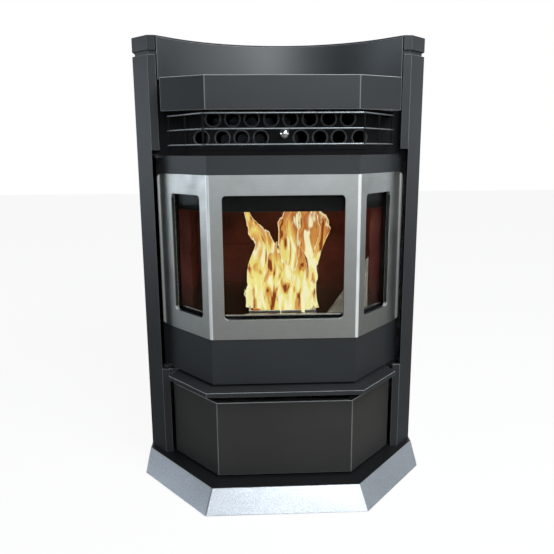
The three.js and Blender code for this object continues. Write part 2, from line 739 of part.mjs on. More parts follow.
// Half a hinge over the rear edge of the lid, from x on: its eye, its leaf and the foot of the leaf.
function knuckle(x, footFront, footBack) {
  const end = x + KNUCKLE_LENGTH;
  const eye = bar([x, LID_AXIS_Y, LID_AXIS_Z], [end, LID_AXIS_Y, LID_AXIS_Z], KNUCKLE_RADIUS);
  const leafTop = LID_AXIS_Z - LID_ROD_RADIUS - PIN_CLEARANCE;
  const leafFront = Math.min(footFront, LID_AXIS_Y);
  const leafBack = Math.max(footBack, LID_AXIS_Y);
  const leaf = block(x, end, leafFront, leafBack, COVER_TOP + SEAT_GAP, leafTop);
  const foot = block(x, end, footFront, footBack, COVER_TOP - OVERCUT, leafTop);
  return [eye, leaf, foot];
}

function lidBore(x) {
  return bar(
    [x - OVERCUT, LID_AXIS_Y, LID_AXIS_Z],
    [x + KNUCKLE_LENGTH + OVERCUT, LID_AXIS_Y, LID_AXIS_Z],
    LID_ROD_RADIUS + PIN_CLEARANCE,
  );
}

function topCover() {
  const crownEdge = crownArc(crownRadius).slice(1, -1).reverse();
  const plate = upright([...coverPlan, ...crownEdge], coverPlate, COVER_TOP);
  const skirtLine = [[STRIP_INNER_X, CASING_RETURN], ...coverPlan, [-STRIP_INNER_X, CASING_RETURN]];
  const skirt = upright(band(skirtLine, 0, CASING_SHEET), skirtBottom, coverPlate + OVERCUT);
  const collarLine = offsetLine(coverPlan, SHADOW_INSET);
  const collar = upright(band(collarLine, 0, CASING_SHEET), CASING_TOP + SEAT_GAP, coverPlate + OVERCUT);
  const mouth = block(
    -LID_HALF_WIDTH - LID_REVEAL,
    LID_HALF_WIDTH + LID_REVEAL,
    LID_FRONT - LID_REVEAL,
    LID_BACK + LID_REVEAL,
    coverPlate - OVERCUT,
    COVER_TOP + OVERCUT,
  );
  const knuckles = [-KNUCKLE_X - KNUCKLE_LENGTH - SEAT_GAP, KNUCKLE_X + SEAT_GAP];
  const solids = knuckles.flatMap((x) => knuckle(x, LID_AXIS_Y, LID_AXIS_Y + 2 * KNUCKLE_RADIUS));
  return cut(join(cut(join(plate, skirt, collar), mouth), ...solids), ...knuckles.map(lidBore));
}
piece('top_cover', topCover(), BLACK_COAT);

function crownWall() {
  const outline = [...crownArc(crownRadius), ...crownArc(crownRadius + CASING_SHEET).reverse()];
  return upright(outline.reverse(), HOOD_TOP + SEAT_GAP, coverPlate - SEAT_GAP);
}
piece('crown_wall', crownWall(), BLACK_COAT);

function hood() {
  const line = bayLine(HOOD_HALF_FRONT, HOOD_FRONT, HOOD_ANGLE, HOOD_WING);
  const [left, , , right] = line;
  const folded = [[left[0], HOOD_RETURN_Y], ...line, [right[0], HOOD_RETURN_Y]];
  const front = upright(band(folded, 0, CASING_SHEET), HOOD_BOTTOM, HOOD_TOP);
  const deck = upright(
    [[left[0], DECK_BACK], ...line, [right[0], DECK_BACK]],
    HOOD_TOP - CASING_SHEET,
    HOOD_TOP,
  );
  return join(front, deck);
}
piece('hood', hood(), BLACK_COAT);

function shelfLip() {
  const line = bayLine(LIP_HALF_FRONT, LIP_FRONT, LIP_ANGLE, LIP_WING);
  const root = offsetLine(bayLine(DOOR_HALF_FRONT, DOOR_FRONT, DOOR_ANGLE, LIP_ROOT_WING), DOOR_RIM);
  const plate = upright([...line, ...root.reverse()], LIP_TOP - LIP_SHEET, LIP_TOP);
  const edge = upright(band(line, 0, LIP_SHEET), LIP_TOP - LIP_DROP, LIP_TOP);
  return join(plate, edge);
}
piece('shelf_lip', shelfLip(), BLACK_COAT);

// ---------- bay door ----------
const DOOR_LINE = bayLine(DOOR_HALF_FRONT, DOOR_FRONT, DOOR_ANGLE, DOOR_WING);
const hingeAlong = DOOR_WING - HINGE_IN;

// A window through all three facets, grown by a margin, between two depths behind the door face.
function centrePane(margin, near, far, radius) {
  const shape = roundedShape(
    -CENTRE_WINDOW_HALF - margin,
    CENTRE_WINDOW_HALF + margin,
    WINDOW_BOTTOM - margin,
    WINDOW_TOP + margin,
    radius,
  );
  return endways(shape, DOOR_FRONT + near, DOOR_FRONT + far);
}

function sidePane(margin, near, far, radius) {
  const shape = roundedShape(
    SIDE_WINDOW_NEAR - margin,
    SIDE_WINDOW_FAR + margin,
    WINDOW_BOTTOM - margin,
    WINDOW_TOP + margin,
    radius,
  );
  return onRightWing(endways(shape, near, far));
}

function threePanes(margin, near, far, radius) {
  const right = sidePane(margin, near, far, radius);
  return [centrePane(margin, near, far, radius), right, mirrored(right)];
}

// A point on the hinge axis, and a round post about it, on the left wing.
function hingePost(radius, z0, z1, sides) {
  const post = bar([hingeAlong, -HINGE_OUT, z0], [hingeAlong, -HINGE_OUT, z1], radius, sides);
  return mirrored(onRightWing(post));
}

function hingeEar(z0, z1) {
  const leaf = block(hingeAlong - EAR_RADIUS, hingeAlong + EAR_RADIUS, -HINGE_OUT, DOOR_PLATE, z0, z1);
  return join(mirrored(onRightWing(leaf)), hingePost(EAR_RADIUS, z0, z1, SMALL_SIDES));
}

function doorFrame() {
  const slab = upright(band(DOOR_LINE, 0, DOOR_RIM), DOOR_BOTTOM, DOOR_TOP);
  const insetLine = bayLine(DOOR_HALF_FRONT, DOOR_FRONT, DOOR_ANGLE, DOOR_WING - DOOR_RIM_WALL);
  const pan = upright(
    band(insetLine, DOOR_PLATE, DOOR_RIM + OVERCUT),
    DOOR_BOTTOM + DOOR_RIM_WALL,
    DOOR_TOP - DOOR_RIM_WALL,
  );
  const openings = threePanes(0, -OVERCUT, DOOR_PLATE + OVERCUT, WINDOW_RADIUS);
  const latchHole = onRightWing(bar(
    [LATCH_ALONG, ROPE_WIDTH, DOOR_BOTTOM - OVERCUT],
    [LATCH_ALONG, ROPE_WIDTH, DOOR_BOTTOM + DOOR_RIM_WALL + OVERCUT],
    PIN_RADIUS + PIN_CLEARANCE,
  ));
  const plate = cut(slab, pan, ...openings, latchHole);
  const bores = hingePost(PIN_RADIUS + PIN_CLEARANCE, DOOR_BOTTOM - OVERCUT, DOOR_TOP + OVERCUT, SMALL_SIDES);
  const ears = [
    hingeEar(DOOR_BOTTOM, DOOR_BOTTOM + EAR_THICKNESS),
    hingeEar(DOOR_TOP - EAR_THICKNESS, DOOR_TOP),
  ];
  return cut(join(plate, ...ears), bores);
}
piece('door_frame', doorFrame(), BLACK_COAT, door);

function doorTrim() {
  const line = bayLine(DOOR_HALF_FRONT, DOOR_FRONT, DOOR_ANGLE, TRIM_WING);
  const sheet = upright(band(line, -SEAT_GAP - TRIM_SHEET, -SEAT_GAP), TRIM_BOTTOM, TRIM_TOP);
  return cut(sheet, ...threePanes(0, -DOOR_PLATE, OVERCUT, WINDOW_RADIUS));
}
piece('door_trim', doorTrim(), BRUSHED_STEEL, door);

const gasketNear = DOOR_PLATE + SEAT_GAP;
const glassNear = gasketNear + GASKET_THICKNESS + SEAT_GAP;
const glassFar = glassNear + GLASS_THICKNESS;

function ringOf(makePane, near, far) {
  const outer = makePane(GLASS_OVERLAP, near, far, PANE_CORNER);
  const inner = makePane(GLASS_OVERLAP - GASKET_WIDTH, near - OVERCUT, far + OVERCUT, PANE_CORNER);
  return cut(outer, inner);
}

const centreGasket = ringOf(centrePane, gasketNear, gasketNear + GASKET_THICKNESS);
const sideGasket = ringOf(sidePane, gasketNear, gasketNear + GASKET_THICKNESS);
piece('glass_gasket_centre', centreGasket, FIBREGLASS, door);
piece('glass_gasket_right', sideGasket, FIBREGLASS, door);
piece('glass_gasket_left', mirrored(sideGasket), FIBREGLASS, door);
const sideGlass = sidePane(GLASS_OVERLAP, glassNear, glassFar, PANE_CORNER);
piece('glass_centre', centrePane(GLASS_OVERLAP, glassNear, glassFar, PANE_CORNER), GLASS, door);
piece('glass_right', sideGlass, GLASS, door);
piece('glass_left', mirrored(sideGlass), GLASS, door);

// The bay opening of the firebox, and rings round it.
const openingLine = bayLine(DOOR_HALF_FRONT, DOOR_FRONT, DOOR_ANGLE, OPENING_WING);

function bayRing(margin, width, near, far) {
  const outer = bayLine(DOOR_HALF_FRONT, DOOR_FRONT, DOOR_ANGLE, OPENING_WING + margin + width);
  const inner = bayLine(DOOR_HALF_FRONT, DOOR_FRONT, DOOR_ANGLE, OPENING_WING + margin);
  return cut(
    upright(band(outer, near, far), SEAL_BOTTOM - margin - width, OPENING_TOP + margin + width),
    upright(band(inner, near - OVERCUT, far + OVERCUT), SEAL_BOTTOM - margin, OPENING_TOP + margin),
  );
}
piece(
  'door_gasket',
  bayRing(ROPE_MARGIN, ROPE_WIDTH, DOOR_PLATE + SEAT_GAP, DOOR_PLATE + SEAT_GAP + ROPE_DEPTH),
  FIBREGLASS,
  door,
);

// Hinge pins stand in brackets on the left side casing.
function hingeBracket(z0, z1) {
  const [axisX, axisY] = mirroredPoint(hingeAlong, -HINGE_OUT);
  const arm = block(-casingInside, axisX, axisY - EAR_RADIUS, axisY + EAR_RADIUS, z0, z1);
  return join(common(arm, insideCasing(z0, z1)), hingePost(EAR_RADIUS, z0, z1, SMALL_SIDES));
}

// A point of the right wing, seen on the left side.
function mirroredPoint(along, depth) {
  const angle = radians(DOOR_ANGLE);
  return [
    -(DOOR_HALF_FRONT + along * Math.cos(angle) - depth * Math.sin(angle)),
    DOOR_FRONT + along * Math.sin(angle) + depth * Math.cos(angle),
  ];
}

const topBracket = [DOOR_TOP + BRACKET_GAP, DOOR_TOP + BRACKET_GAP + BRACKET_THICKNESS];
const lowBracket = [DOOR_BOTTOM - BRACKET_GAP - BRACKET_THICKNESS, DOOR_BOTTOM - BRACKET_GAP];
piece('hinge_pin_top', join(
  hingeBracket(...topBracket),
  hingePost(PIN_RADIUS, topBracket[0] - PIN_LENGTH, topBracket[1], SMALL_SIDES),
), DARK_STEEL);
piece('hinge_pin_bottom', join(
  hingeBracket(...lowBracket),
  hingePost(PIN_RADIUS, lowBracket[0], lowBracket[1] + PIN_LENGTH, SMALL_SIDES),
), DARK_STEEL);

// A flat lever in the shadow gap under the right wing, hung on its own pin.
function doorLatch() {
  const high = DOOR_BOTTOM - SEAT_GAP;
  const low = high - LATCH_THICKNESS;
  const lever = block(
    LATCH_ALONG - LATCH_LEVER,
    LATCH_ALONG + LATCH_REACH,
    ROPE_WIDTH - LATCH_WIDTH / 2,
    ROPE_WIDTH + LATCH_WIDTH / 2,
    low,
    high,
  );
  const pin = bar([LATCH_ALONG, ROPE_WIDTH, low], [LATCH_ALONG, ROPE_WIDTH, high + PIN_LENGTH], PIN_RADIUS);
  return onRightWing(join(lever, pin));
}
piece('door_latch', doorLatch(), DARK_STEEL, door);

// ---------- firebox ----------
const shellFront = DOOR_RIM + SEAT_GAP;
const doorSlope = Math.tan(radians(DOOR_ANGLE));

// A plan of the shell from its bay front, a given depth behind the door face, to its back.
function shellPlan(depth, sideX, backY) {
  const near = offsetLine(DOOR_LINE, depth)[2];
  const cornerY = near[1] + (sideX - near[0]) * doorSlope;
  return bayOutline(near[0], near[1], sideX, cornerY, backY).reverse();
}

function fireboxShell() {
  const outer = upright(shellPlan(shellFront, SHELL_SIDE_X, SHELL_BACK), casingBottom, SHELL_TOP);
  const innerX = SHELL_SIDE_X - SHELL_WALL;
  const innerBack = SHELL_BACK - SHELL_WALL;
  const openPlan = shellPlan(-SHELL_WALL, innerX, innerBack);
  const closedPlan = shellPlan(shellFront + SHELL_WALL, innerX, innerBack);
  const ash = upright(openPlan, casingBottom + SHELL_WALL, ASH_ROOF);
  const airBox = upright(closedPlan, AIR_BOX_FLOOR, FIRE_FLOOR - SHELL_WALL);
  const fire = upright(closedPlan, FIRE_FLOOR, SHELL_TOP - SHELL_WALL);
  const opening = upright(
    band(openingLine, -OVERCUT, shellFront + 2 * SHELL_WALL),
    OPENING_BOTTOM,
    OPENING_TOP,
  );
  const smokeWay = block(
    -EXCHANGER_HALF_WIDTH + BRICK_THICKNESS,
    EXCHANGER_HALF_WIDTH - BRICK_THICKNESS,
    SHELL_BACK / 2,
    innerBack - SHELL_WALL,
    SHELL_TOP - 2 * SHELL_WALL,
    SHELL_TOP + OVERCUT,
  );
  const potHole = block(
    -POT_HALF_WIDTH + 2 * POT_WALL,
    POT_HALF_WIDTH - 2 * POT_WALL,
    POT_FRONT + 2 * POT_WALL,
    POT_FRONT + POT_DEPTH - 2 * POT_WALL,
    FIRE_FLOOR - 2 * SHELL_WALL,
    FIRE_FLOOR + OVERCUT,
  );
  const chuteHole = chuteSlot(innerBack - OVERCUT, SHELL_BACK + OVERCUT);
  const igniterHole = igniterHoleAt(innerBack, SHELL_BACK);
  const inletHole = bar(
    [INLET_X, innerBack - OVERCUT, INLET_Z],
    [INLET_X, SHELL_BACK + OVERCUT, INLET_Z],
    INLET_RADIUS - INNER_SHEET,
    ROUND_SIDES,
  );
  const latchSlot = onRightWing(block(
    LATCH_ALONG - LATCH_WIDTH,
    LATCH_ALONG + LATCH_REACH + LATCH_WIDTH,
    0,
    ROPE_WIDTH + LATCH_REACH + LATCH_WIDTH,
    AIR_BOX_FLOOR + OVERCUT,
    DOOR_BOTTOM + LATCH_THICKNESS,
  ));
  return cut(outer, ash, airBox, fire, opening, smokeWay, potHole, chuteHole, igniterHole, inletHole, latchSlot);
}

function igniterBar(radius, y0, y1) {
  return bar([0, y0, IGNITER_Z], [0, y1, IGNITER_Z], radius);
}

function igniterHoleAt(y0, y1) {
  return igniterBar(IGNITER_RADIUS + IGNITER_CLEARANCE, y0 - OVERCUT, y1 + OVERCUT);
}

// The way that the pellet chute takes through an upright wall.
const chuteSlope = (CHUTE_TOP_Z - CHUTE_MOUTH_Z) / (CHUTE_TOP_Y - CHUTE_MOUTH_Y);

function chuteProfile(margin) {
  const half = (CHUTE_HEIGHT / 2 + margin) * Math.hypot(1, chuteSlope);
  return [
    [CHUTE_MOUTH_Y, CHUTE_MOUTH_Z - half],
    [CHUTE_TOP_Y, CHUTE_TOP_Z - half],
    [CHUTE_TOP_Y, CHUTE_TOP_Z + half],
    [CHUTE_MOUTH_Y, CHUTE_MOUTH_Z + half],
  ];
}

function chuteSlot(y0, y1) {
  const half = CHUTE_HALF_WIDTH + CHUTE_CLEARANCE;
  const through = sideways(chuteProfile(CHUTE_CLEARANCE), -half, half);
  return common(through, block(-half, half, y0, y1, FIRE_FLOOR, SHELL_TOP));
}
piece('firebox_shell', fireboxShell(), DARK_STEEL);

const airWashLine = bayLine(DOOR_HALF_FRONT, DOOR_FRONT, DOOR_ANGLE, OPENING_WING - AIR_WASH_SIDE_GAP);
const airWashDepth = shellFront + SHELL_WALL + SEAT_GAP;
piece('air_wash_plate', upright(
  band(airWashLine, airWashDepth, airWashDepth + INNER_SHEET),
  AIR_WASH_BOTTOM,
  SHELL_TOP - SHELL_WALL - SEAT_GAP,
), DARK_STEEL);

const brickBottom = FIRE_FLOOR + SEAT_GAP;
const brickTop = brickBottom + BRICK_COURSES * BRICK_COURSE;
const brickSideX = SHELL_SIDE_X - SHELL_WALL - SEAT_GAP;
const brickBackY = SHELL_BACK - SHELL_WALL - SEAT_GAP;

// Mortar grooves across one face of a liner.
function courseGrooves(x0, x1, y0, y1) {
  const grooves = [];
  for (let i = 1; i < BRICK_COURSES; i += 1) {
    const z = brickBottom + i * BRICK_COURSE;
    grooves.push(block(x0, x1, y0, y1, z - BRICK_JOINT / 2, z + BRICK_JOINT / 2));
  }
  return grooves;
}

const brickFace = brickBackY - BRICK_THICKNESS;
const rearBrickHalf = brickSideX - BRICK_THICKNESS - SEAT_GAP;
piece('brick_rear', cut(
  block(-rearBrickHalf, rearBrickHalf, brickFace, brickBackY, brickBottom, brickTop),
  ...courseGrooves(-brickSideX, brickSideX, brickFace - OVERCUT, brickFace + BRICK_JOINT),
  chuteSlot(brickFace - OVERCUT, brickBackY + OVERCUT),
  igniterHoleAt(brickFace, brickBackY),
), FIREBRICK);

const sideBrickFace = brickSideX - BRICK_THICKNESS;
const sideBrick = cut(
  block(sideBrickFace, brickSideX, BRICK_SIDE_FRONT, brickBackY, brickBottom, brickTop),
  ...courseGrooves(sideBrickFace - OVERCUT, sideBrickFace + BRICK_JOINT, 0, SHELL_BACK),
);
piece('brick_right', sideBrick, FIREBRICK);
piece('brick_left', mirrored(sideBrick), FIREBRICK);

function burnPot() {
  const back = POT_FRONT + POT_DEPTH;
  const body = block(-POT_HALF_WIDTH, POT_HALF_WIDTH, POT_FRONT, back, FIRE_FLOOR + SEAT_GAP, POT_TOP);
  const innerX = POT_HALF_WIDTH - POT_WALL;
  const bowl = block(-innerX, innerX, POT_FRONT + POT_WALL, back - POT_WALL, POT_FLOOR, POT_TOP + OVERCUT);
  const under = block(-innerX, innerX, POT_FRONT + POT_WALL, back - POT_WALL, 0, POT_FLOOR - POT_WALL);
  const slots = POT_SLOTS.map((i) => block(
    i * POT_SLOT_PITCH - POT_SLOT_HALF_WIDTH,
    i * POT_SLOT_PITCH + POT_SLOT_HALF_WIDTH,
    POT_FRONT + 3 * POT_WALL,
    back - 3 * POT_WALL,
    FIRE_FLOOR,
    POT_TOP,
  ));
  const igniterHole = igniterHoleAt(back - POT_WALL, back);
  return cut(body, bowl, under, ...slots, igniterHole);
}
piece('burn_pot', burnPot(), BRUSHED_STEEL);

const emberX = POT_HALF_WIDTH - POT_WALL - SEAT_GAP;
piece('pellet_bed', loft(
  [[-emberX, POT_FRONT + POT_WALL + SEAT_GAP], [emberX, POT_FRONT + POT_WALL + SEAT_GAP],
    [emberX, POT_FRONT + POT_DEPTH - POT_WALL - SEAT_GAP],
    [-emberX, POT_FRONT + POT_DEPTH - POT_WALL - SEAT_GAP]],
  POT_FLOOR + SEAT_GAP,
  [[-emberX / 2, POT_FRONT + POT_DEPTH / 4], [emberX / 2, POT_FRONT + POT_DEPTH / 4],
    [emberX / 2, POT_FRONT + (3 * POT_DEPTH) / 4], [-emberX / 2, POT_FRONT + (3 * POT_DEPTH) / 4]],
  POT_FLOOR + SEAT_GAP + PELLET_DEPTH,
), EMBERS);
const igniterFront = POT_FRONT + POT_DEPTH - OVERCUT;
piece('igniter', igniterBar(IGNITER_RADIUS, igniterFront, igniterFront + IGNITER_LENGTH), BRIGHT_STEEL);

// ---------- heat exchanger and outlet ----------
const sheetInner = EXCHANGER_HALF_WIDTH - SEAT_GAP - SHEET_THICKNESS;
const rearSheetY = SHELL_BACK - SHEET_THICKNESS;
const upperTubesX = [];
for (let i = 0; i < UPPER_TUBES_PER_SIDE; i += 1) {
  const x = (i + 0.5) * TUBE_PITCH;
  upperTubesX.push(x, -x);
}
const tubeSpots = [
  ...upperTubesX.map((x) => [x, UPPER_TUBE_Z]),
  ...LOWER_TUBES_X.flatMap((x) => [[x, LOWER_TUBE_Z], [-x, LOWER_TUBE_Z]]),
];

function tubeBars(radius, y0, y1) {
  return tubeSpots.map(([x, z]) => bar([x, y0, z], [x, y1, z], radius, TUBE_SIDES));
}

function heatExchanger() {
  const top = EXCHANGER_TOP - SHEET_THICKNESS - SEAT_GAP;
  const frontShape = roundedShape(-sheetInner, sheetInner, SHEET_BOTTOM, top, SHEET_CORNER);
  const sheets = [
    endways(frontShape, EXCHANGER_FRONT, EXCHANGER_FRONT + SHEET_THICKNESS),
    endways(frontShape, rearSheetY, rearSheetY + SHEET_THICKNESS),
  ];
  const back = rearSheetY + SHEET_THICKNESS;
  const outers = tubeBars(TUBE_RADIUS, EXCHANGER_FRONT, back);
  const bores = tubeBars(TUBE_BORE_RADIUS, EXCHANGER_FRONT - OVERCUT, back + OVERCUT);
  const rodHole = bar(
    [0, EXCHANGER_FRONT - OVERCUT, ROD_Z],
    [0, EXCHANGER_FRONT + SHEET_THICKNESS + OVERCUT, ROD_Z],
    ROD_RADIUS + ROD_CLEARANCE,
  );
  return cut(join(...sheets, ...outers), ...bores, rodHole);
}
piece('heat_exchanger', heatExchanger(), DARK_STEEL);

const smokePort = [SMOKE_DUCT_FRONT + INNER_SHEET, SMOKE_DUCT_BACK - INNER_SHEET];

function exchangerHousing() {
  const bottom = SHELL_TOP + SEAT_GAP;
  const front = EXCHANGER_FRONT + SHEET_THICKNESS + SEAT_GAP;
  const half = EXCHANGER_HALF_WIDTH;
  const box = block(-half, half, front, SHELL_BACK, bottom, EXCHANGER_TOP);
  const inside = block(
    -half + SHEET_THICKNESS,
    half - SHEET_THICKNESS,
    front - OVERCUT,
    SHELL_BACK + OVERCUT,
    bottom - OVERCUT,
    EXCHANGER_TOP - SHEET_THICKNESS,
  );
  const sillTop = SHEET_BOTTOM + SHEET_CORNER - SEAT_GAP;
  const sillBottomTube = LOWER_TUBE_Z - TUBE_RADIUS - SEAT_GAP;
  const sillHeight = Math.min(sillTop, sillBottomTube);
  const sills = [front, SHELL_BACK - SHEET_THICKNESS - SEAT_GAP - SHEET_THICKNESS].map((y) => (
    block(-half, half, y, y + SHEET_THICKNESS, bottom, sillHeight)
  ));
  const cheekTop = HOOD_TOP - CASING_SHEET - SEAT_GAP;
  const cheeks = common(
    block(half - OVERCUT, casingInside, CHEEK_Y, CHEEK_Y + CASING_SHEET, bottom, cheekTop),
    insideCasing(bottom, cheekTop),
  );
  const port = block(0, half + OVERCUT, ...smokePort, SMOKE_PORT_BOTTOM, SMOKE_DUCT_TOP - 2 * INNER_SHEET);
  const airCheeks = [cheeks, mirrored(cheeks)];
  return cut(join(cut(box, inside), ...sills, ...airCheeks), port);
}
piece('exchanger_housing', exchangerHousing(), DARK_STEEL);

const scraperY = rearSheetY - SCRAPER_REST_GAP - SCRAPER_THICKNESS;
const rodEnd = scraperY + SCRAPER_THICKNESS;

function scraperPlate() {
  const half = sheetInner - SCRAPER_CLEARANCE;
  const low = LOWER_TUBE_Z - TUBE_RADIUS - SHEET_THICKNESS;
  const high = EXCHANGER_TOP - SHEET_THICKNESS - SCRAPER_CLEARANCE;
  const plate = block(-half, half, scraperY, rodEnd, low, high);
  const holes = tubeBars(TUBE_RADIUS + SCRAPER_CLEARANCE, scraperY - OVERCUT, rodEnd + OVERCUT);
  const rodSeat = bar([0, scraperY - OVERCUT, ROD_Z], [0, rodEnd + OVERCUT, ROD_Z], ROD_RADIUS + SEAT_GAP);
  return cut(plate, ...holes, rodSeat);
}
piece('scraper_plate', scraperPlate(), DARK_STEEL, rodSlide);

piece('cleaning_rod', bar([0, KNOB_FLAT_Y + SEAT_GAP, ROD_Z], [0, rodEnd, ROD_Z], ROD_RADIUS), BRIGHT_STEEL, rodSlide);
const ball = new THREE.SphereGeometry(KNOB_RADIUS, KNOB_SEGMENTS, KNOB_RINGS).rotateX(Math.PI / 2).translate(0, KNOB_Y, ROD_Z);
piece('rod_knob', cut(ball, block(
  -KNOB_RADIUS,
  KNOB_RADIUS,
  KNOB_FLAT_Y,
  KNOB_Y + KNOB_RADIUS + OVERCUT,
  ROD_Z - KNOB_RADIUS,
  ROD_Z + KNOB_RADIUS,
)), BRIGHT_STEEL, rodSlide);

// A level wire with mitred bends: the same hexagon at each point of its line.
function wireRun(line, z) {
  const points = [];
  const faces = [];
  const count = WIRE_SIDES;
  const sides = Array.from({ length: count }, (_, k) => {
    const angle = (2 * Math.PI * k) / count;
    return [offsetLine(line, WIRE_RADIUS * Math.cos(angle)), z + WIRE_RADIUS * Math.sin(angle)];
  });
  line.forEach((_, i) => {
    sides.forEach(([run, height]) => points.push(...run[i], height));
  });
  for (let i = 0; i < line.length - 1; i += 1) {
    for (let k = 0; k < count; k += 1) {
      const a = count * i + k;
      const b = count * i + ((k + 1) % count);
      faces.push(a, b, a + count, b, b + count, a + count);
    }
  }
  const last = count * (line.length - 1);
  for (let k = 1; k < count - 1; k += 1) {
    faces.push(0, k + 1, k, last, last + k, last + k + 1);
  }
  const geometry = new THREE.BufferGeometry();
  geometry.setAttribute('position', new THREE.Float32BufferAttribute(points, 3));
  geometry.setIndex(faces);
  return geometry;
}

function airGrille() {
  const line = bayLine(WIRE_HALF_FRONT, WIRE_FRONT, WIRE_ANGLE, WIRE_WING);
  const wires = WIRE_HEIGHTS.map((z) => wireRun(line, z));
  const low = WIRE_HEIGHTS[WIRE_HEIGHTS.length - 1];
  const high = WIRE_HEIGHTS[0];
  const posts = [...GRILLE_POST_WINGS, GRILLE_END_WING].flatMap((wing) => {
    const [, , , [x, y]] = bayLine(WIRE_HALF_FRONT, WIRE_FRONT, WIRE_ANGLE, wing);
    return [x, -x].map((side) => bar([side, y, low], [side, y, high], GRILLE_POST_RADIUS, WIRE_SIDES));
  });
  const [, , , [endX, endY]] = bayLine(WIRE_HALF_FRONT, WIRE_FRONT, WIRE_ANGLE, GRILLE_END_WING);
  const stays = [low, high].flatMap((z) => [endX, -endX].map((side) => (
    bar([side, endY, z], [side, CHEEK_Y - SEAT_GAP, z], WIRE_RADIUS, WIRE_SIDES)
  )));
  return join(...wires, ...posts, ...stays);
}
piece('air_grille', airGrille(), BLACK_COAT);

// ---------- hopper and pellet feed ----------
function insetOutline(points, distance) {
  const looped = [points[points.length - 1], ...points, points[0]];
  return offsetLine(looped, distance).slice(1, -1);
}

// The hopper body, shrunk by a wall, as its side view crossed with its front view.
function hopperBody(wall, top) {
  const sideView = insetOutline([
    [HOPPER_FRONT, top],
    [HOPPER_FRONT, HOPPER_BEND_Z],
    [HOPPER_STEP_Y, HOPPER_STEP_Z],
    [HOPPER_STEP_Y, HOPPER_LOWER_Z],
    [THROAT_FRONT, THROAT_Z],
    [THROAT_BACK, THROAT_Z],
    [HOPPER_BACK, HOPPER_LOWER_Z],
    [HOPPER_BACK, top],
  ], wall);
  const frontView = insetOutline([
    [-HOPPER_HALF_WIDTH, top],
    [-HOPPER_HALF_WIDTH, HOPPER_LOWER_Z],
    [-THROAT_HALF_WIDTH, THROAT_Z],
    [THROAT_HALF_WIDTH, THROAT_Z],
    [HOPPER_HALF_WIDTH, HOPPER_LOWER_Z],
    [HOPPER_HALF_WIDTH, top],
  ], wall);
  return common(
    sideways(sideView, -HOPPER_HALF_WIDTH - OVERCUT, HOPPER_HALF_WIDTH + OVERCUT),
    endways(frontView, HOPPER_FRONT - OVERCUT, HOPPER_BACK + OVERCUT),
  );
}

const feedTilt = radians(FEED_TILT);

// A point on the auger axis, a given way up from its foot, and a bar along it.
function feedPoint(along) {
  return [0, FEED_START_Y - along * Math.cos(feedTilt), FEED_START_Z + along * Math.sin(feedTilt)];
}

function feedBar(radius, from, to, sides = ROUND_SIDES) {
  return bar(feedPoint(from), feedPoint(to), radius, sides);
}

const hopperTop = coverPlate - SEAT_GAP;

function hopper() {
  const outer = hopperBody(0, hopperTop);
  const inner = hopperBody(INNER_SHEET, hopperTop + 4 * INNER_SHEET);
  const neckX = THROAT_HALF_WIDTH;
  const neck = block(-neckX, neckX, THROAT_FRONT, THROAT_BACK, FEED_START_Z, THROAT_Z + INNER_SHEET);
  const neckHole = block(
    -neckX + INNER_SHEET,
    neckX - INNER_SHEET,
    THROAT_FRONT + INNER_SHEET,
    THROAT_BACK - INNER_SHEET,
    FEED_START_Z - OVERCUT,
    THROAT_Z + 6 * INNER_SHEET,
  );
  const flange = block(
    -HOPPER_HALF_WIDTH - HOPPER_FLANGE,
    HOPPER_HALF_WIDTH + HOPPER_FLANGE,
    HOPPER_FRONT - HOPPER_FLANGE,
    HOPPER_BACK + HOPPER_FLANGE,
    hopperTop - INNER_SHEET,
    hopperTop,
  );
  const mouth = block(
    -LID_HALF_WIDTH + HOPPER_FLANGE,
    LID_HALF_WIDTH - HOPPER_FLANGE,
    LID_FRONT + HOPPER_FLANGE,
    LID_BACK - HOPPER_FLANGE,
    hopperTop - 2 * INNER_SHEET,
    hopperTop + OVERCUT,
  );
  const cap = cut(inner, block(
    -CASING_HALF_WIDTH,
    CASING_HALF_WIDTH,
    0,
    CASING_BACK,
    hopperTop - INNER_SHEET,
    COVER_TOP,
  ));
  const saddle = feedBar(FEED_RADIUS + SEAT_GAP, -FEED_RADIUS, FEED_LENGTH);
  const below = sideways([
    [FEED_START_Y + CASING_HALF_WIDTH, 0],
    feedPoint(-CASING_HALF_WIDTH).slice(1),
    feedPoint(FEED_LENGTH).slice(1),
    [0, FEED_START_Z + FEED_LENGTH],
    [0, 0],
  ].reverse(), -CASING_HALF_WIDTH, CASING_HALF_WIDTH);
  return cut(join(outer, neck, flange), cap, neckHole, mouth, saddle, below);
}

// The slice of a solid between two heights.
function layer(solid, z0, z1) {
  return common(solid, block(-CASING_HALF_WIDTH, CASING_HALF_WIDTH, 0, CASING_BACK, z0, z1));
}

const hopperSheet = hopper();
piece('hopper', layer(hopperSheet, HOPPER_LOWER_Z, COVER_TOP), GALVANISED);
piece('hopper_funnel', layer(hopperSheet, THROAT_Z, HOPPER_LOWER_Z - SEAT_GAP), GALVANISED);
piece('hopper_neck', layer(hopperSheet, 0, THROAT_Z - SEAT_GAP), GALVANISED);

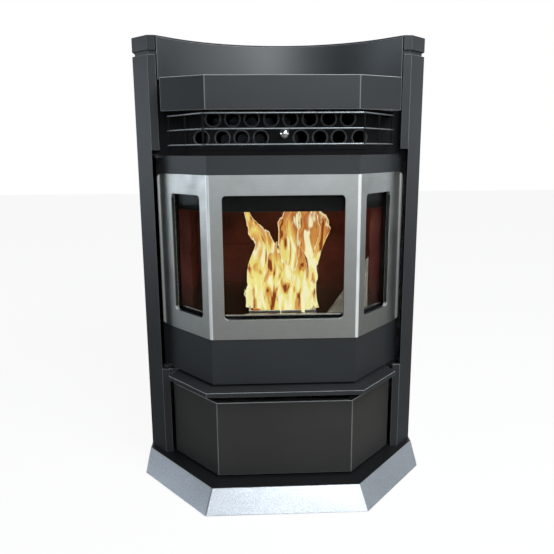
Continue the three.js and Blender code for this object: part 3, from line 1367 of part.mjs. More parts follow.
function hopperGuard() {
  const x = HOPPER_HALF_WIDTH - INNER_SHEET - SEAT_GAP;
  const y0 = HOPPER_FRONT + INNER_SHEET + SEAT_GAP;
  const y1 = HOPPER_BACK - INNER_SHEET - SEAT_GAP;
  const plate = block(-x, x, y0, y1, GUARD_Z, GUARD_Z + INNER_SHEET);
  const stepX = (2 * x - GUARD_BAR) / GUARD_COLUMNS;
  const stepY = (y1 - y0 - GUARD_BAR) / GUARD_ROWS;
  const holes = [];
  for (let i = 0; i < GUARD_COLUMNS; i += 1) {
    for (let j = 0; j < GUARD_ROWS; j += 1) {
      const left = -x + GUARD_BAR + i * stepX;
      const front = y0 + GUARD_BAR + j * stepY;
      holes.push(block(
        left,
        left + stepX - GUARD_BAR,
        front,
        front + stepY - GUARD_BAR,
        GUARD_Z - OVERCUT,
        GUARD_Z + INNER_SHEET + OVERCUT,
      ));
    }
  }
  return cut(plate, ...holes);
}
piece('hopper_guard', hopperGuard(), GALVANISED);

const lidKnuckles = [-KNUCKLE_X, KNUCKLE_X - KNUCKLE_LENGTH];

function hopperLid() {
  const plate = block(-LID_HALF_WIDTH, LID_HALF_WIDTH, LID_FRONT, LID_BACK, coverPlate, COVER_TOP);
  const half = LID_PULL_HALF_WIDTH;
  const back = LID_PULL_Y + LID_PULL_POST;
  const top = COVER_TOP + LID_PULL_HEIGHT;
  const post = block(-half, half, LID_PULL_Y, back, COVER_TOP - OVERCUT, top);
  const hook = block(-half, half, LID_PULL_Y - LID_PULL_REACH, back, top - LID_PULL_SHEET, top);
  const eyes = lidKnuckles.flatMap((x) => knuckle(x, LID_BACK - KNUCKLE_RADIUS, LID_BACK));
  return cut(join(plate, post, hook, ...eyes), ...lidKnuckles.map(lidBore));
}
piece('hopper_lid', hopperLid(), BLACK_COAT, lid);
const lidRodEnd = KNUCKLE_X + KNUCKLE_LENGTH;
piece('lid_hinge_rod', bar(
  [-lidRodEnd, LID_AXIS_Y, LID_AXIS_Z],
  [lidRodEnd, LID_AXIS_Y, LID_AXIS_Z],
  LID_ROD_RADIUS,
), BRIGHT_STEEL);

function augerTube() {
  const half = CHUTE_HALF_WIDTH;
  const [mouthLow, topLow, topHigh, mouthHigh] = chuteProfile(-FEED_WALL);
  const chuteInside = [
    [mouthLow[0] - OVERCUT, mouthLow[1]],
    topLow,
    topHigh,
    [mouthHigh[0] - OVERCUT, mouthHigh[1]],
  ];
  const top = CHUTE_TOP_Z + (CHUTE_HEIGHT / 2) * Math.hypot(1, chuteSlope);
  const capBack = feedPoint(FEED_LENGTH)[1] + FEED_RADIUS;
  const capFront = SHELL_BACK + INNER_SHEET;
  const capLow = feedPoint(FEED_LENGTH)[2] - FEED_RADIUS / 2;
  const outer = [
    feedBar(FEED_RADIUS, 0, FEED_LENGTH),
    sideways(chuteProfile(0), -half, half),
    block(-half, half, capFront, capBack, capLow, top),
  ];
  const inner = [
    feedBar(FEED_RADIUS - FEED_WALL, FEED_WALL, FEED_LENGTH + FEED_RADIUS / 2),
    sideways(chuteInside, -half + FEED_WALL, half - FEED_WALL),
    block(
      -half + FEED_WALL,
      half - FEED_WALL,
      capFront + FEED_WALL,
      capBack - FEED_WALL,
      capLow + FEED_WALL,
      top - FEED_WALL,
    ),
  ];
  const shaftHole = feedBar(SCREW_SHAFT_RADIUS + SHAFT_CLEARANCE, -OVERCUT, FEED_WALL + OVERCUT);
  const inletX = THROAT_HALF_WIDTH - 4 * FEED_WALL;
  const inlet = block(
    -inletX,
    inletX,
    THROAT_FRONT + 3 * FEED_WALL,
    THROAT_BACK - 3 * FEED_WALL,
    feedPoint(FEED_WALL)[2] + FEED_RADIUS / 2,
    THROAT_Z,
  );
  const feedWindow = common(inlet, feedBar(FEED_RADIUS + OVERCUT, FEED_WALL, FEED_LENGTH - FEED_RADIUS));
  return cut(join(...outer), ...inner, shaftHole, feedWindow);
}
piece('auger_tube', augerTube(), GALVANISED);

// A helical flight about a shaft, drawn upright from z = 0.
function screwFlight(length) {
  const steps = Math.round((length / SCREW_PITCH) * FLIGHT_STEPS);
  const points = [];
  const faces = [];
  for (let i = 0; i <= steps; i += 1) {
    const angle = (2 * Math.PI * i) / FLIGHT_STEPS;
    const z = (SCREW_PITCH * i) / FLIGHT_STEPS;
    [[SCREW_SHAFT_RADIUS - OVERCUT, 0], [SCREW_RADIUS, 0], [SCREW_RADIUS, FLIGHT_THICKNESS],
      [SCREW_SHAFT_RADIUS - OVERCUT, FLIGHT_THICKNESS]].forEach(([radius, rise]) => {
      points.push(radius * Math.cos(angle), radius * Math.sin(angle), z + rise);
    });
  }
  for (let i = 0; i < steps; i += 1) {
    for (let k = 0; k < 4; k += 1) {
      const a = 4 * i + k;
      const b = 4 * i + ((k + 1) % 4);
      faces.push(a, a + 4, b, b, a + 4, b + 4);
    }
  }
  const last = 4 * steps;
  faces.push(0, 1, 2, 0, 2, 3, last, last + 2, last + OVERCUT, last, last + 3, last + 2);
  const geometry = new THREE.BufferGeometry();
  geometry.setAttribute('position', new THREE.Float32BufferAttribute(points, 3));
  geometry.setIndex(faces);
  return geometry;
}

function augerScrew() {
  const flightStart = 3 * FEED_WALL;
  const flightLength = FEED_LENGTH - 4 * FEED_WALL;
  const flight = screwFlight(flightLength).translate(0, 0, flightStart);
  const shaft = new THREE.CylinderGeometry(SCREW_SHAFT_RADIUS, SCREW_SHAFT_RADIUS, FEED_LENGTH, SMALL_SIDES)
    .rotateX(Math.PI / 2)
    .translate(0, 0, FEED_LENGTH / 2 - FEED_WALL / 2);
  const [, y, z] = feedPoint(0);
  return join(flight, shaft).rotateX(Math.PI / 2 - feedTilt).translate(0, y, z);
}
piece('auger_screw', augerScrew(), BRIGHT_STEEL);

function augerMotor() {
  const side = MOTOR_HALF_SIDE;
  const geometry = new THREE.BoxGeometry(2 * side, 2 * side, MOTOR_LENGTH).translate(0, 0, -MOTOR_LENGTH / 2);
  const can = new THREE.CylinderGeometry(MOTOR_CAN_RADIUS, MOTOR_CAN_RADIUS, 2 * side, SMALL_SIDES)
    .rotateZ(Math.PI / 2)
    .translate(2 * side - OVERCUT, 0, -MOTOR_LENGTH / 2);
  const shaftHole = new THREE.CylinderGeometry(
    SCREW_SHAFT_RADIUS + SEAT_GAP,
    SCREW_SHAFT_RADIUS + SEAT_GAP,
    MOTOR_LENGTH,
    SMALL_SIDES,
  ).rotateX(Math.PI / 2).translate(0, 0, -SEAT_GAP + MOTOR_LENGTH / 2 - FEED_WALL);
  const [, y, z] = feedPoint(-SEAT_GAP);
  return cut(join(geometry, can), shaftHole).rotateX(Math.PI / 2 - feedTilt).translate(0, y, z);
}
piece('auger_motor', augerMotor(), DARK_STEEL);

// ---------- smoke path ----------
function roundY(x, z, y0, y1, radius, sides = ROUND_SIDES) {
  return bar([x, y0, z], [x, y1, z], radius, sides);
}

// The smoke duct from the exchanger down to the blower, shrunk by a wall.
function smokeDuctBody(wall) {
  const low = BLOWER_Z - BLOWER_RADIUS / 2;
  const high = BLOWER_Z + BLOWER_RADIUS / 2;
  const back = BLOWER_FRONT - SEAT_GAP;
  return join(
    block(
      SMOKE_DUCT_INNER_X + wall,
      SMOKE_DUCT_OUTER_X - wall,
      SMOKE_DUCT_FRONT + wall,
      SMOKE_DUCT_BACK - wall,
      low + wall,
      SMOKE_DUCT_TOP - wall,
    ),
    block(
      EXCHANGER_HALF_WIDTH + SEAT_GAP - wall,
      SMOKE_DUCT_OUTER_X - wall,
      SMOKE_DUCT_FRONT + wall,
      SMOKE_DUCT_BACK - wall,
      SMOKE_PORT_BOTTOM + wall,
      SMOKE_DUCT_TOP - wall,
    ),
    block(
      SMOKE_DUCT_INNER_X + wall,
      SMOKE_DUCT_OUTER_X - wall,
      SMOKE_DUCT_BACK - DUCT_OVERLAP,
      back - wall,
      low + wall,
      high - wall,
    ),
    block(
      BLOWER_X - BLOWER_RADIUS / 2 + wall,
      SMOKE_DUCT_OUTER_X - wall,
      SHELL_BACK + SEAT_GAP + wall,
      back - wall,
      low + wall,
      high - wall,
    ),
  );
}
const ductMouth = roundY(BLOWER_X, BLOWER_Z, BLOWER_FRONT - 2 * INNER_SHEET, BLOWER_FRONT + OVERCUT, BLOWER_INLET_RADIUS);
const ductSheet = cut(smokeDuctBody(0), smokeDuctBody(INNER_SHEET), ductMouth);
const ductJointZ = BLOWER_Z + BLOWER_RADIUS / 2 + INNER_SHEET;
piece('smoke_duct_head', layer(ductSheet, SMOKE_PORT_BOTTOM, COVER_TOP), GALVANISED);
piece('smoke_duct', layer(ductSheet, ductJointZ + SEAT_GAP, SMOKE_PORT_BOTTOM - SEAT_GAP), GALVANISED);
piece('smoke_duct_foot', layer(ductSheet, 0, ductJointZ), GALVANISED);

// The blower drum and its outlet box, shrunk by a wall.
function blowerBody(wall) {
  const drum = roundY(BLOWER_X, BLOWER_Z, BLOWER_FRONT + wall, BLOWER_BACK - wall, BLOWER_RADIUS - wall);
  const half = FLUE_RADIUS + 2 * INNER_SHEET;
  const outlet = block(
    FLUE_X - half + wall,
    BLOWER_X - wall,
    BLOWER_FRONT + wall,
    BLOWER_BACK - wall,
    BLOWER_Z - half + wall,
    BLOWER_Z + half - wall,
  );
  return join(drum, outlet);
}

const motorBack = CASING_BACK - FLUE_RADIUS;

function exhaustHousing() {
  const motor = roundY(BLOWER_X, BLOWER_Z, BLOWER_BACK - OVERCUT, motorBack, BLOWER_RADIUS / 2);
  const shaftRoom = roundY(BLOWER_X, BLOWER_Z, BLOWER_BACK - 2 * INNER_SHEET, motorBack - INNER_SHEET,
    BLOWER_SHAFT_RADIUS + SHAFT_CLEARANCE, SMALL_SIDES);
  const inlet = roundY(BLOWER_X, BLOWER_Z, BLOWER_FRONT - OVERCUT, BLOWER_FRONT + 2 * INNER_SHEET, BLOWER_INLET_RADIUS);
  const outlet = roundY(FLUE_X, BLOWER_Z, BLOWER_BACK - 2 * INNER_SHEET, BLOWER_BACK + OVERCUT, FLUE_RADIUS - INNER_SHEET);
  return cut(join(blowerBody(0), motor), blowerBody(INNER_SHEET), inlet, outlet, shaftRoom);
}
piece('exhaust_housing', exhaustHousing(), DARK_STEEL);

// Straight blades round a hub, seen along Y.
function exhaustImpeller() {
  const front = BLOWER_FRONT + IMPELLER_FRONT_GAP;
  const back = BLOWER_BACK - IMPELLER_BACK_GAP;
  const disc = roundY(BLOWER_X, BLOWER_Z, back - INNER_SHEET, back, IMPELLER_RADIUS);
  const shaft = roundY(BLOWER_X, BLOWER_Z, front, motorBack - INNER_SHEET - SEAT_GAP,
    BLOWER_SHAFT_RADIUS, SMALL_SIDES);
  const blades = [];
  for (let i = 0; i < IMPELLER_BLADES; i += 1) {
    const blade = block(
      BLOWER_SHAFT_RADIUS - OVERCUT,
      IMPELLER_RADIUS - OVERCUT,
      front,
      back - OVERCUT,
      -BLADE_HALF_THICKNESS,
      BLADE_HALF_THICKNESS,
    );
    blades.push(blade.rotateY((2 * Math.PI * i) / IMPELLER_BLADES).translate(BLOWER_X, 0, BLOWER_Z));
  }
  return join(disc, shaft, ...blades);
}
piece('exhaust_impeller', exhaustImpeller(), BRIGHT_STEEL);

function pipe(x, z, y0, y1, radius) {
  return cut(
    roundY(x, z, y0, y1, radius),
    roundY(x, z, y0 - OVERCUT, y1 + OVERCUT, radius - INNER_SHEET),
  );
}
piece('flue_outlet', pipe(FLUE_X, BLOWER_Z, BLOWER_BACK + SEAT_GAP, FLUE_BACK, FLUE_RADIUS), DARK_STEEL);
piece('air_inlet', pipe(INLET_X, INLET_Z, SHELL_BACK + SEAT_GAP, INLET_BACK, INLET_RADIUS), DARK_STEEL);

// ---------- room-air path ----------
function airDuctBody(wall) {
  const outer = -AIR_DUCT_OUTER_X;
  const inner = outer + AIR_DUCT_WIDTH;
  const front = SHELL_BACK + SEAT_GAP;
  return join(
    block(outer + wall, inner - wall, AIR_DUCT_FRONT + wall, AIR_DUCT_BACK - wall,
      AIR_DUCT_BOTTOM - 2 * wall, EXCHANGER_TOP - wall),
    block(outer + wall, inner - wall, front + wall, AIR_DUCT_BACK - wall,
      PLENUM_BOTTOM + wall, EXCHANGER_TOP - wall),
    block(outer + wall, EXCHANGER_HALF_WIDTH - wall, front - wall, PLENUM_BACK - wall,
      PLENUM_BOTTOM + wall, EXCHANGER_TOP - wall),
  );
}

function airDuct() {
  const mouthLimit = block(
    -EXCHANGER_HALF_WIDTH + INNER_SHEET,
    EXCHANGER_HALF_WIDTH,
    SHELL_BACK,
    PLENUM_BACK,
    PLENUM_BOTTOM,
    EXCHANGER_TOP,
  );
  const hollow = airDuctBody(INNER_SHEET);
  const room = join(
    common(hollow, mouthLimit),
    cut(hollow, block(-CASING_HALF_WIDTH, CASING_HALF_WIDTH, 0, SHELL_BACK + SEAT_GAP + INNER_SHEET, 0, COVER_TOP)),
  );
  return cut(airDuctBody(0), room);
}
piece('air_duct', airDuct(), GALVANISED);

const fanOuter = -AIR_DUCT_OUTER_X;
const fanInner = fanOuter + FAN_LENGTH;

function roundX(x0, x1, radius, sides = ROUND_SIDES) {
  return bar([x0, FAN_Y, FAN_Z], [x1, FAN_Y, FAN_Z], radius, sides);
}

function fanBody(wall) {
  const drum = roundX(fanOuter + wall, fanInner - wall, FAN_RADIUS - wall);
  const neck = block(
    fanOuter + wall,
    fanOuter + AIR_DUCT_WIDTH - wall,
    AIR_DUCT_FRONT + wall,
    AIR_DUCT_BACK - wall,
    FAN_Z,
    AIR_DUCT_BOTTOM - SEAT_GAP + 2 * wall,
  );
  return join(drum, neck);
}

function fanHousing() {
  const intake = roundX(fanInner - 2 * INNER_SHEET, fanInner + OVERCUT, FAN_INTAKE_RADIUS);
  const axle = roundX(fanOuter + OVERCUT, fanOuter + FAN_AXLE_LENGTH, BLOWER_SHAFT_RADIUS, SMALL_SIDES);
  return join(cut(fanBody(0), fanBody(INNER_SHEET), intake), axle);
}
piece('fan_housing', fanHousing(), GALVANISED);

// A drum of blades between a disc at the axle end and a rim at the intake end.
function fanWheel() {
  const discX = fanOuter + FAN_WHEEL_GAP;
  const rimX = fanInner - FAN_WHEEL_GAP;
  const disc = roundX(discX, discX + INNER_SHEET, FAN_WHEEL_RADIUS);
  const hub = roundX(discX, discX + FAN_AXLE_LENGTH, FAN_HUB_RADIUS);
  const rim = cut(
    roundX(rimX - INNER_SHEET, rimX, FAN_WHEEL_RADIUS),
    roundX(rimX - 2 * INNER_SHEET, rimX + OVERCUT, FAN_INTAKE_RADIUS),
  );
  const blades = [];
  for (let i = 0; i < FAN_BLADES; i += 1) {
    const blade = block(
      discX + OVERCUT,
      rimX - OVERCUT,
      FAN_INTAKE_RADIUS,
      FAN_WHEEL_RADIUS - OVERCUT,
      -BLADE_HALF_THICKNESS,
      BLADE_HALF_THICKNESS,
    );
    blades.push(blade.rotateX((2 * Math.PI * i) / FAN_BLADES).translate(0, FAN_Y, FAN_Z));
  }
  const bore = roundX(discX - OVERCUT, fanOuter + FAN_AXLE_LENGTH + OVERCUT, BLOWER_SHAFT_RADIUS + PIN_CLEARANCE, SMALL_SIDES);
  return cut(join(disc, hub, rim, ...blades), bore);
}
piece('fan_wheel', fanWheel(), BRIGHT_STEEL);

// ---------- ash drawer ----------
const DRAWER_LINE = bayLine(DRAWER_HALF_FRONT, DRAWER_FRONT, DRAWER_ANGLE, DRAWER_WING);
const floorTop = casingBottom + SHELL_WALL;

function drawerFront() {
  const wall = upright(band(DRAWER_LINE, 0, CASING_SHEET), DRAWER_BOTTOM, DRAWER_TOP);
  const lipBand = upright(band(DRAWER_LINE, 0, DRAWER_LIP), DRAWER_TOP - CASING_SHEET, DRAWER_TOP);
  return join(wall, lipBand);
}
piece('ash_drawer_front', drawerFront(), BLACK_COAT, drawer);

function panPlan(inset) {
  const near = offsetLine(DRAWER_LINE, CASING_SHEET + SEAT_GAP + inset)[2];
  const slope = Math.tan(radians(DRAWER_ANGLE));
  const sideX = PAN_HALF_WIDTH - inset;
  const cornerY = near[1] + (sideX - near[0]) * slope;
  return bayOutline(near[0], near[1], sideX, cornerY, PAN_BACK - inset).reverse();
}

function ashPan() {
  const bottom = floorTop + SEAT_GAP;
  return cut(
    upright(panPlan(0), bottom, PAN_TOP),
    upright(panPlan(INNER_SHEET), bottom + INNER_SHEET, PAN_TOP + OVERCUT),
  );
}
piece('ash_pan', ashPan(), GALVANISED, drawer);

// ---------- controls ----------
const panelOuter = CASING_HALF_WIDTH + PANEL_STAND;
const buttonSpots = [-1, 0, 1].map((i) => BUTTON_Z + i * BUTTON_PITCH);

function buttonBar(z, radius, x0, x1) {
  return bar([x0, PANEL_Y, z], [x1, PANEL_Y, z], radius, SMALL_SIDES);
}

function controlPanel() {
  const bezel = block(
    panelOuter - PANEL_THICKNESS,
    panelOuter,
    PANEL_Y - PANEL_WIDTH / 2,
    PANEL_Y + PANEL_WIDTH / 2,
    PANEL_Z - PANEL_HEIGHT / 2,
    PANEL_Z + PANEL_HEIGHT / 2,
  );
  const display = block(
    panelOuter - PANEL_STAND / 2,
    panelOuter + OVERCUT,
    PANEL_Y - DISPLAY_HALF_WIDTH,
    PANEL_Y + DISPLAY_HALF_WIDTH,
    DISPLAY_Z - DISPLAY_HALF_HEIGHT,
    DISPLAY_Z + DISPLAY_HALF_HEIGHT,
  );
  const wells = buttonSpots.map((z) => (
    buttonBar(z, BUTTON_RADIUS + BUTTON_CLEARANCE, panelOuter - BUTTON_LENGTH, panelOuter + OVERCUT)
  ));
  return cut(bezel, display, ...wells);
}
piece('control_panel', controlPanel(), BLACK_PLASTIC);
['button_power', 'button_down', 'button_up'].forEach((name, i) => {
  const inner = panelOuter - BUTTON_LENGTH + BUTTON_WELL_GAP;
  const shape = buttonBar(buttonSpots[i], BUTTON_RADIUS, inner, panelOuter + BUTTON_STAND);
  piece(name, shape, i ? BLACK_PLASTIC : RED_PLASTIC);
});

function powerInlet() {
  const half = SOCKET_WIDTH / 2;
  const tall = SOCKET_HEIGHT / 2;
  const body = block(
    SOCKET_X - half,
    SOCKET_X + half,
    rearBack - SOCKET_DEPTH,
    rearBack + OVERCUT,
    SOCKET_Z - tall,
    SOCKET_Z + tall,
  );
  const well = block(
    SOCKET_X - half + SOCKET_WALL,
    SOCKET_X + half - SOCKET_WALL,
    rearBack - SOCKET_DEPTH + SOCKET_FLOOR,
    rearBack + 2 * OVERCUT,
    SOCKET_Z - tall + SOCKET_WALL,
    SOCKET_Z + tall - SOCKET_WALL,
  );
  const pins = SOCKET_PIN_HALF_HEIGHTS.map((halfHeight, i) => block(
    SOCKET_X + (i - 1) * SOCKET_PIN_PITCH - SOCKET_PIN_HALF_WIDTH,
    SOCKET_X + (i - 1) * SOCKET_PIN_PITCH + SOCKET_PIN_HALF_WIDTH,
    rearBack - SOCKET_DEPTH + SOCKET_FLOOR - OVERCUT,
    rearBack - SOCKET_PIN_SET_BACK,
    SOCKET_Z - halfHeight,
    SOCKET_Z + halfHeight,
  ));
  return join(cut(body, well), ...pins);
}
piece('power_inlet', powerInlet(), BLACK_PLASTIC);

const stove = new THREE.Group();
stove.add(fixed, door, lid, drawer, rodSlide);
const frontEdge = PEDESTAL_TOP_FRONT - PEDESTAL_FLARE;
stove.position.y = -(frontEdge + FLUE_BACK) / 2;
const part = new THREE.Group();
part.add(stove);
export default part;
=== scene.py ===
"""Builds the look of a bay-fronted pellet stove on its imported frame: coats, trim, glass, bricks and fire."""
import json
import math
import random

import bpy
from mathutils import Matrix, Vector

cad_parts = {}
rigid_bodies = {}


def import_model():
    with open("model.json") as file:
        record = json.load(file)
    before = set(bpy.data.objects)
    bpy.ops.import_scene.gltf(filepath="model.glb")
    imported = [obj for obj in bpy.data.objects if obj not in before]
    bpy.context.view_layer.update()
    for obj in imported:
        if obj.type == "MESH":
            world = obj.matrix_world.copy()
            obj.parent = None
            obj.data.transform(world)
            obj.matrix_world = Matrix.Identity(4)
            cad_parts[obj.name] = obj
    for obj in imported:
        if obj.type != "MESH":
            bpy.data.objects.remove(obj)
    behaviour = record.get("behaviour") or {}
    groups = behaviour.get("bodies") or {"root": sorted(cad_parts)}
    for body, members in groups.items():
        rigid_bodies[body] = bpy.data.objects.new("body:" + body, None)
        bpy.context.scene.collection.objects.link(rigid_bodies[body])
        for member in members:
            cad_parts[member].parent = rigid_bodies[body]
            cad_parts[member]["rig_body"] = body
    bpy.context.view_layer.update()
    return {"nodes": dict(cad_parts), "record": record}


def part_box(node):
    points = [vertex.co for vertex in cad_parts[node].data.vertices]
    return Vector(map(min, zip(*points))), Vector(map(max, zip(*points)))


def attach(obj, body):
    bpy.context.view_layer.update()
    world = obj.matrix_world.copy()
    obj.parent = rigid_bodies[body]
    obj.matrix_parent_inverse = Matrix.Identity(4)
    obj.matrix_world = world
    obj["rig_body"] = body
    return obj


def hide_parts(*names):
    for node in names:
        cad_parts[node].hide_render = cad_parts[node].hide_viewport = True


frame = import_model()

bl_info = {
    "name": "Bay Pellet Stove Dresser",
    "version": (1, 0, 0),
    "blender": (4, 5, 0),
    "location": "View3D > Sidebar > Pellet Stove",
    "description": "Dresses the pellet stove with finishes, bent sheet, fire and a plain studio",
    "category": "Object",
}

# The bay door, in metres in the stove's own frame.
DOOR_HALF_FRONT = 0.146
DOOR_FACE_Y = -0.2353
DOOR_ANGLE = math.radians(49.5)
TRIM_GAP = 0.0003
TRIM_WING = 0.166
TRIM_BOTTOM, TRIM_TOP = 0.3423, 0.6676
WINDOW_BOTTOM, WINDOW_TOP = 0.3825, 0.6287
WINDOW_RADIUS = 0.008
CENTRE_WINDOW_HALF = 0.119
SIDE_WINDOW_NEAR, SIDE_WINDOW_FAR = 0.024, 0.123
CUTTER_DEPTH = 0.02
TRIM_END = 0.004
TOUCHING = 0.0001

# The outlet grille.
WIRE_HALF_FRONT = 0.1483
WIRE_FRONT_Y = -0.2522
WIRE_ANGLE = math.radians(53.7)
WIRE_WING = 0.133
WIRE_HEIGHTS = (0.7805, 0.7525, 0.7242)
POST_WINGS = (0.002, 0.066, 0.129)
CHEEK_FACE_Y = -0.1083
WIRE_BEND = 0.007
POST_SHARE = 1.1

# The tubes of the heat exchanger.
TUBE_PITCH = 0.0394
UPPER_TUBE_Z, LOWER_TUBE_Z = 0.776, 0.7383
LOWER_TUBES_X = (0.041, 0.0805, 0.1195, 0.162)
TUBE_FACE_Y = -0.125
TUBES_ABOVE = 4
RIM_RADIUS, RIM_WIRE = 0.0152, 0.0021
RIM_BACK, RIM_TAIL = 0.0004, 0.004

# Small roundings, as radii or bevel widths.
TRIM_EDGE = 0.00085
TRIM_RIM_FACE = 0.0013
SHEET_EDGE = 0.0006
BRICK_EDGE = 0.0016
CAP_EDGE = 0.0012

# The sill behind the glass.
SILL_TOP = 0.3871
SILL_SET_BACK = 0.0163
SILL_WING = 0.116
SILL_EDGE_HEIGHT, SILL_EDGE_THICK = 0.003, 0.0034
SILL_BEND = 0.002

# How far the knob and the rod stay inside their CAD boxes.
KNOB_CLEARANCE, ROD_CLEARANCE = 0.0001, 0.00005

# Loose pellets on the fire bed.
PELLET_RADIUS, PELLET_LENGTH, PELLET_EDGE = 0.003, 0.014, 0.0006
PELLET_MARGIN, PELLET_LIFT = 0.009, 0.002
PELLET_LAYER, PELLET_MOUND = 0.006, 0.006

# The ash heap: its slope rises to the right and falls to the back.
ASH_NEAR_X, ASH_NEAR_Y, ASH_NEAR_RISE = 0.105, -0.1, 0.0557
ASH_SLOPE, ASH_SHEAR, ASH_FALL = 1.43, 0.157, 0.25
ASH_LEAST, ASH_GRIT = 0.02, 0.0024
ASH_FLOOR_GAP, ASH_POT_GAP, ASH_BOARD_GAP = 0.0005, 0.004, 0.001
ASH_FRONT_GAP, ASH_SHORTER = 0.002, 0.04

# The flames. Each large one is made of two sheets, turned by these angles about the upright.
FLAME_SHEET = 0.0003
FLAME_REACH = 1.35
LARGE_FLAME_TURNS, LARGE_FLAME_SPREAD, LARGE_FLAME_CUP = (0.12, 1.35), 0.2, 0.5
SMALL_FLAME_ROOT_Z = 0.372
SMALL_FLAME_X, SMALL_FLAME_Y = (-0.052, 0.058), (-0.148, -0.084)
SMALL_FLAME_HEIGHT, SMALL_FLAME_HALF = (0.03, 0.075), (0.007, 0.013)
SMALL_FLAME_SWAY, SMALL_FLAME_TURN, SMALL_FLAME_CUP = 0.014, 0.9, 0.6
SMALL_FLAME_TIP = 0.002

# The studio. Each lamp: name, place, size, power setting, colour.
LAMPS = (
    ("Key Lamp", (1.0, -1.5, 2.3), 1.1, "key", (0.94, 0.98, 1.0)),
    ("Fill Lamp", (2.0, -1.6, 0.7), 1.2, "fill", (1.0, 0.94, 0.86)),
    ("Front Lamp", (0.35, -2.7, 1.75), 1.3, "front", (0.93, 0.98, 1.0)),
)
LAMP_TARGET = (0, 0, 0.45)
FIRE_PLACE, FIRE_COLOUR, FIRE_SOFTNESS = (0.02, -0.135, 0.46), (1.0, 0.5, 0.2), 0.04
FLOOR_SIZE, FLOOR_CENTRE = 14, (0, 2.0, 0)
CAMERA_PLACE = (-0.0604, -1.3824, 0.7133)
CAMERA_YAW, CAMERA_PITCH, CAMERA_ROLL = (math.radians(angle) for angle in (2.31, 12.0, 0.37))
CAMERA_LENS, CAMERA_SENSOR = 38.755, 36


# ---------- settings ----------
def colour_setting(name, description, default):
    return bpy.props.FloatVectorProperty(
        name=name, description=description, subtype="COLOR", size=3, min=0, max=1, default=default)


def length_setting(name, description, default, least, most):
    return bpy.props.FloatProperty(
        name=name, description=description, unit="LENGTH", default=default, min=least, max=most)


def power_setting(name, description, default):
    return bpy.props.FloatProperty(name=name, description=description, unit="POWER", min=0, default=default)


def count_setting(name, description, default, most):
    return bpy.props.IntProperty(name=name, description=description, min=0, max=most, default=default)


class StoveFinish(bpy.types.PropertyGroup):
    """Colours of the stove's finishes."""

    coat: colour_setting("Black coat", "Powder coat on the casing", (0.022, 0.024, 0.026))
    pedestal: colour_setting("Pedestal", "Hammered paint on the pedestal", (0.36, 0.375, 0.40))
    drawer: colour_setting("Drawer", "Coat on the ash drawer front", (0.027, 0.026, 0.025))
    trim: colour_setting("Door trim", "Brushed steel round the windows", (0.50, 0.505, 0.49))
    brick: colour_setting("Firebrick", "Lining of the firebox", (0.165, 0.045, 0.036))


class StoveSizes(bpy.types.PropertyGroup):
    """Sizes of the details that are added to the frame."""

    fold_radius: length_setting("Fold radius", "Outer bends of the door trim", 0.009, 0.002, 0.012)
    trim_sheet: length_setting("Trim sheet", "Thickness of the door trim", 0.0015, 0.0008, 0.002)
    trim_corner: length_setting("Trim corner", "Outer corners of the door trim", 0.0065, 0.001, 0.015)
    edge_round: length_setting("Edge rounding", "Edges of coated sheet", 0.0011, 0.0002, 0.003)
    wire_radius: length_setting("Wire radius", "Radius of the grille wires", 0.0018, 0.001, 0.003)
    flame_tongues: count_setting("Small tongues", "Small flames over the burning pellets", 26, 60)
    pellets: count_setting("Pellets", "Loose pellets on the fire bed", 150, 400)


class StoveStudio(bpy.types.PropertyGroup):
    """Strength of the studio light."""

    key: power_setting("Key lamp", "Power of the large soft lamp", 40)
    fill: power_setting("Fill lamp", "Power of the second soft lamp", 5)
    front: power_setting("Front lamp", "Power of the lamp behind the camera", 26)
    fire: power_setting("Fire", "Power of the light that the fire gives", 5.0)


# ---------- modelling helpers ----------
def only(piece):
    """Leaves one object selected and active, in object mode."""
    if bpy.context.object and bpy.context.object.mode != "OBJECT":
        bpy.ops.object.mode_set(mode="OBJECT")
    bpy.ops.object.select_all(action="DESELECT")
    piece.select_set(True)
    bpy.context.view_layer.objects.active = piece


def name_piece(name):
    piece = bpy.context.object
    piece.name = name
    piece.data.name = name
    return piece


def added(make, **settings):
    """Adds a primitive with nothing else selected."""
    bpy.ops.object.select_all(action="DESELECT")
    make(**settings)
    return bpy.context.object


def settle(piece):
    """Puts the object's place into its mesh."""
    only(piece)
    bpy.ops.object.transform_apply(location=True, rotation=True, scale=True)
    return piece


def apply_modifier(piece, kind, **settings):
    only(piece)
    modifier = piece.modifiers.new(kind.title(), kind)
    for key, value in settings.items():
        setattr(modifier, key, value)
    bpy.ops.object.modifier_apply(modifier=modifier.name)
    return piece


def smooth(piece, degrees=30):
    only(piece)
    bpy.ops.object.shade_smooth_by_angle(angle=math.radians(degrees))
    return piece


def mark_rims(piece, width):
    """Stores on each face whether it is a narrow one that rounds an edge."""
    points = piece.data.vertices
    rims = piece.data.attributes.new("rim", "FLOAT", "FACE")
    for face in piece.data.polygons:
        corners = [points[i].co for i in face.vertices]
        around = sum((a - b).length for a, b in zip(corners, corners[1:] + corners[:1]))
        rims.data[face.index].value = float(2 * face.area / around < width)


def flat_faces(piece):
    """Lets the large faces set the normals, so that only the rounded edges catch the light."""
    return apply_modifier(piece, "WEIGHTED_NORMAL", mode="FACE_AREA", weight=50, keep_sharp=True)


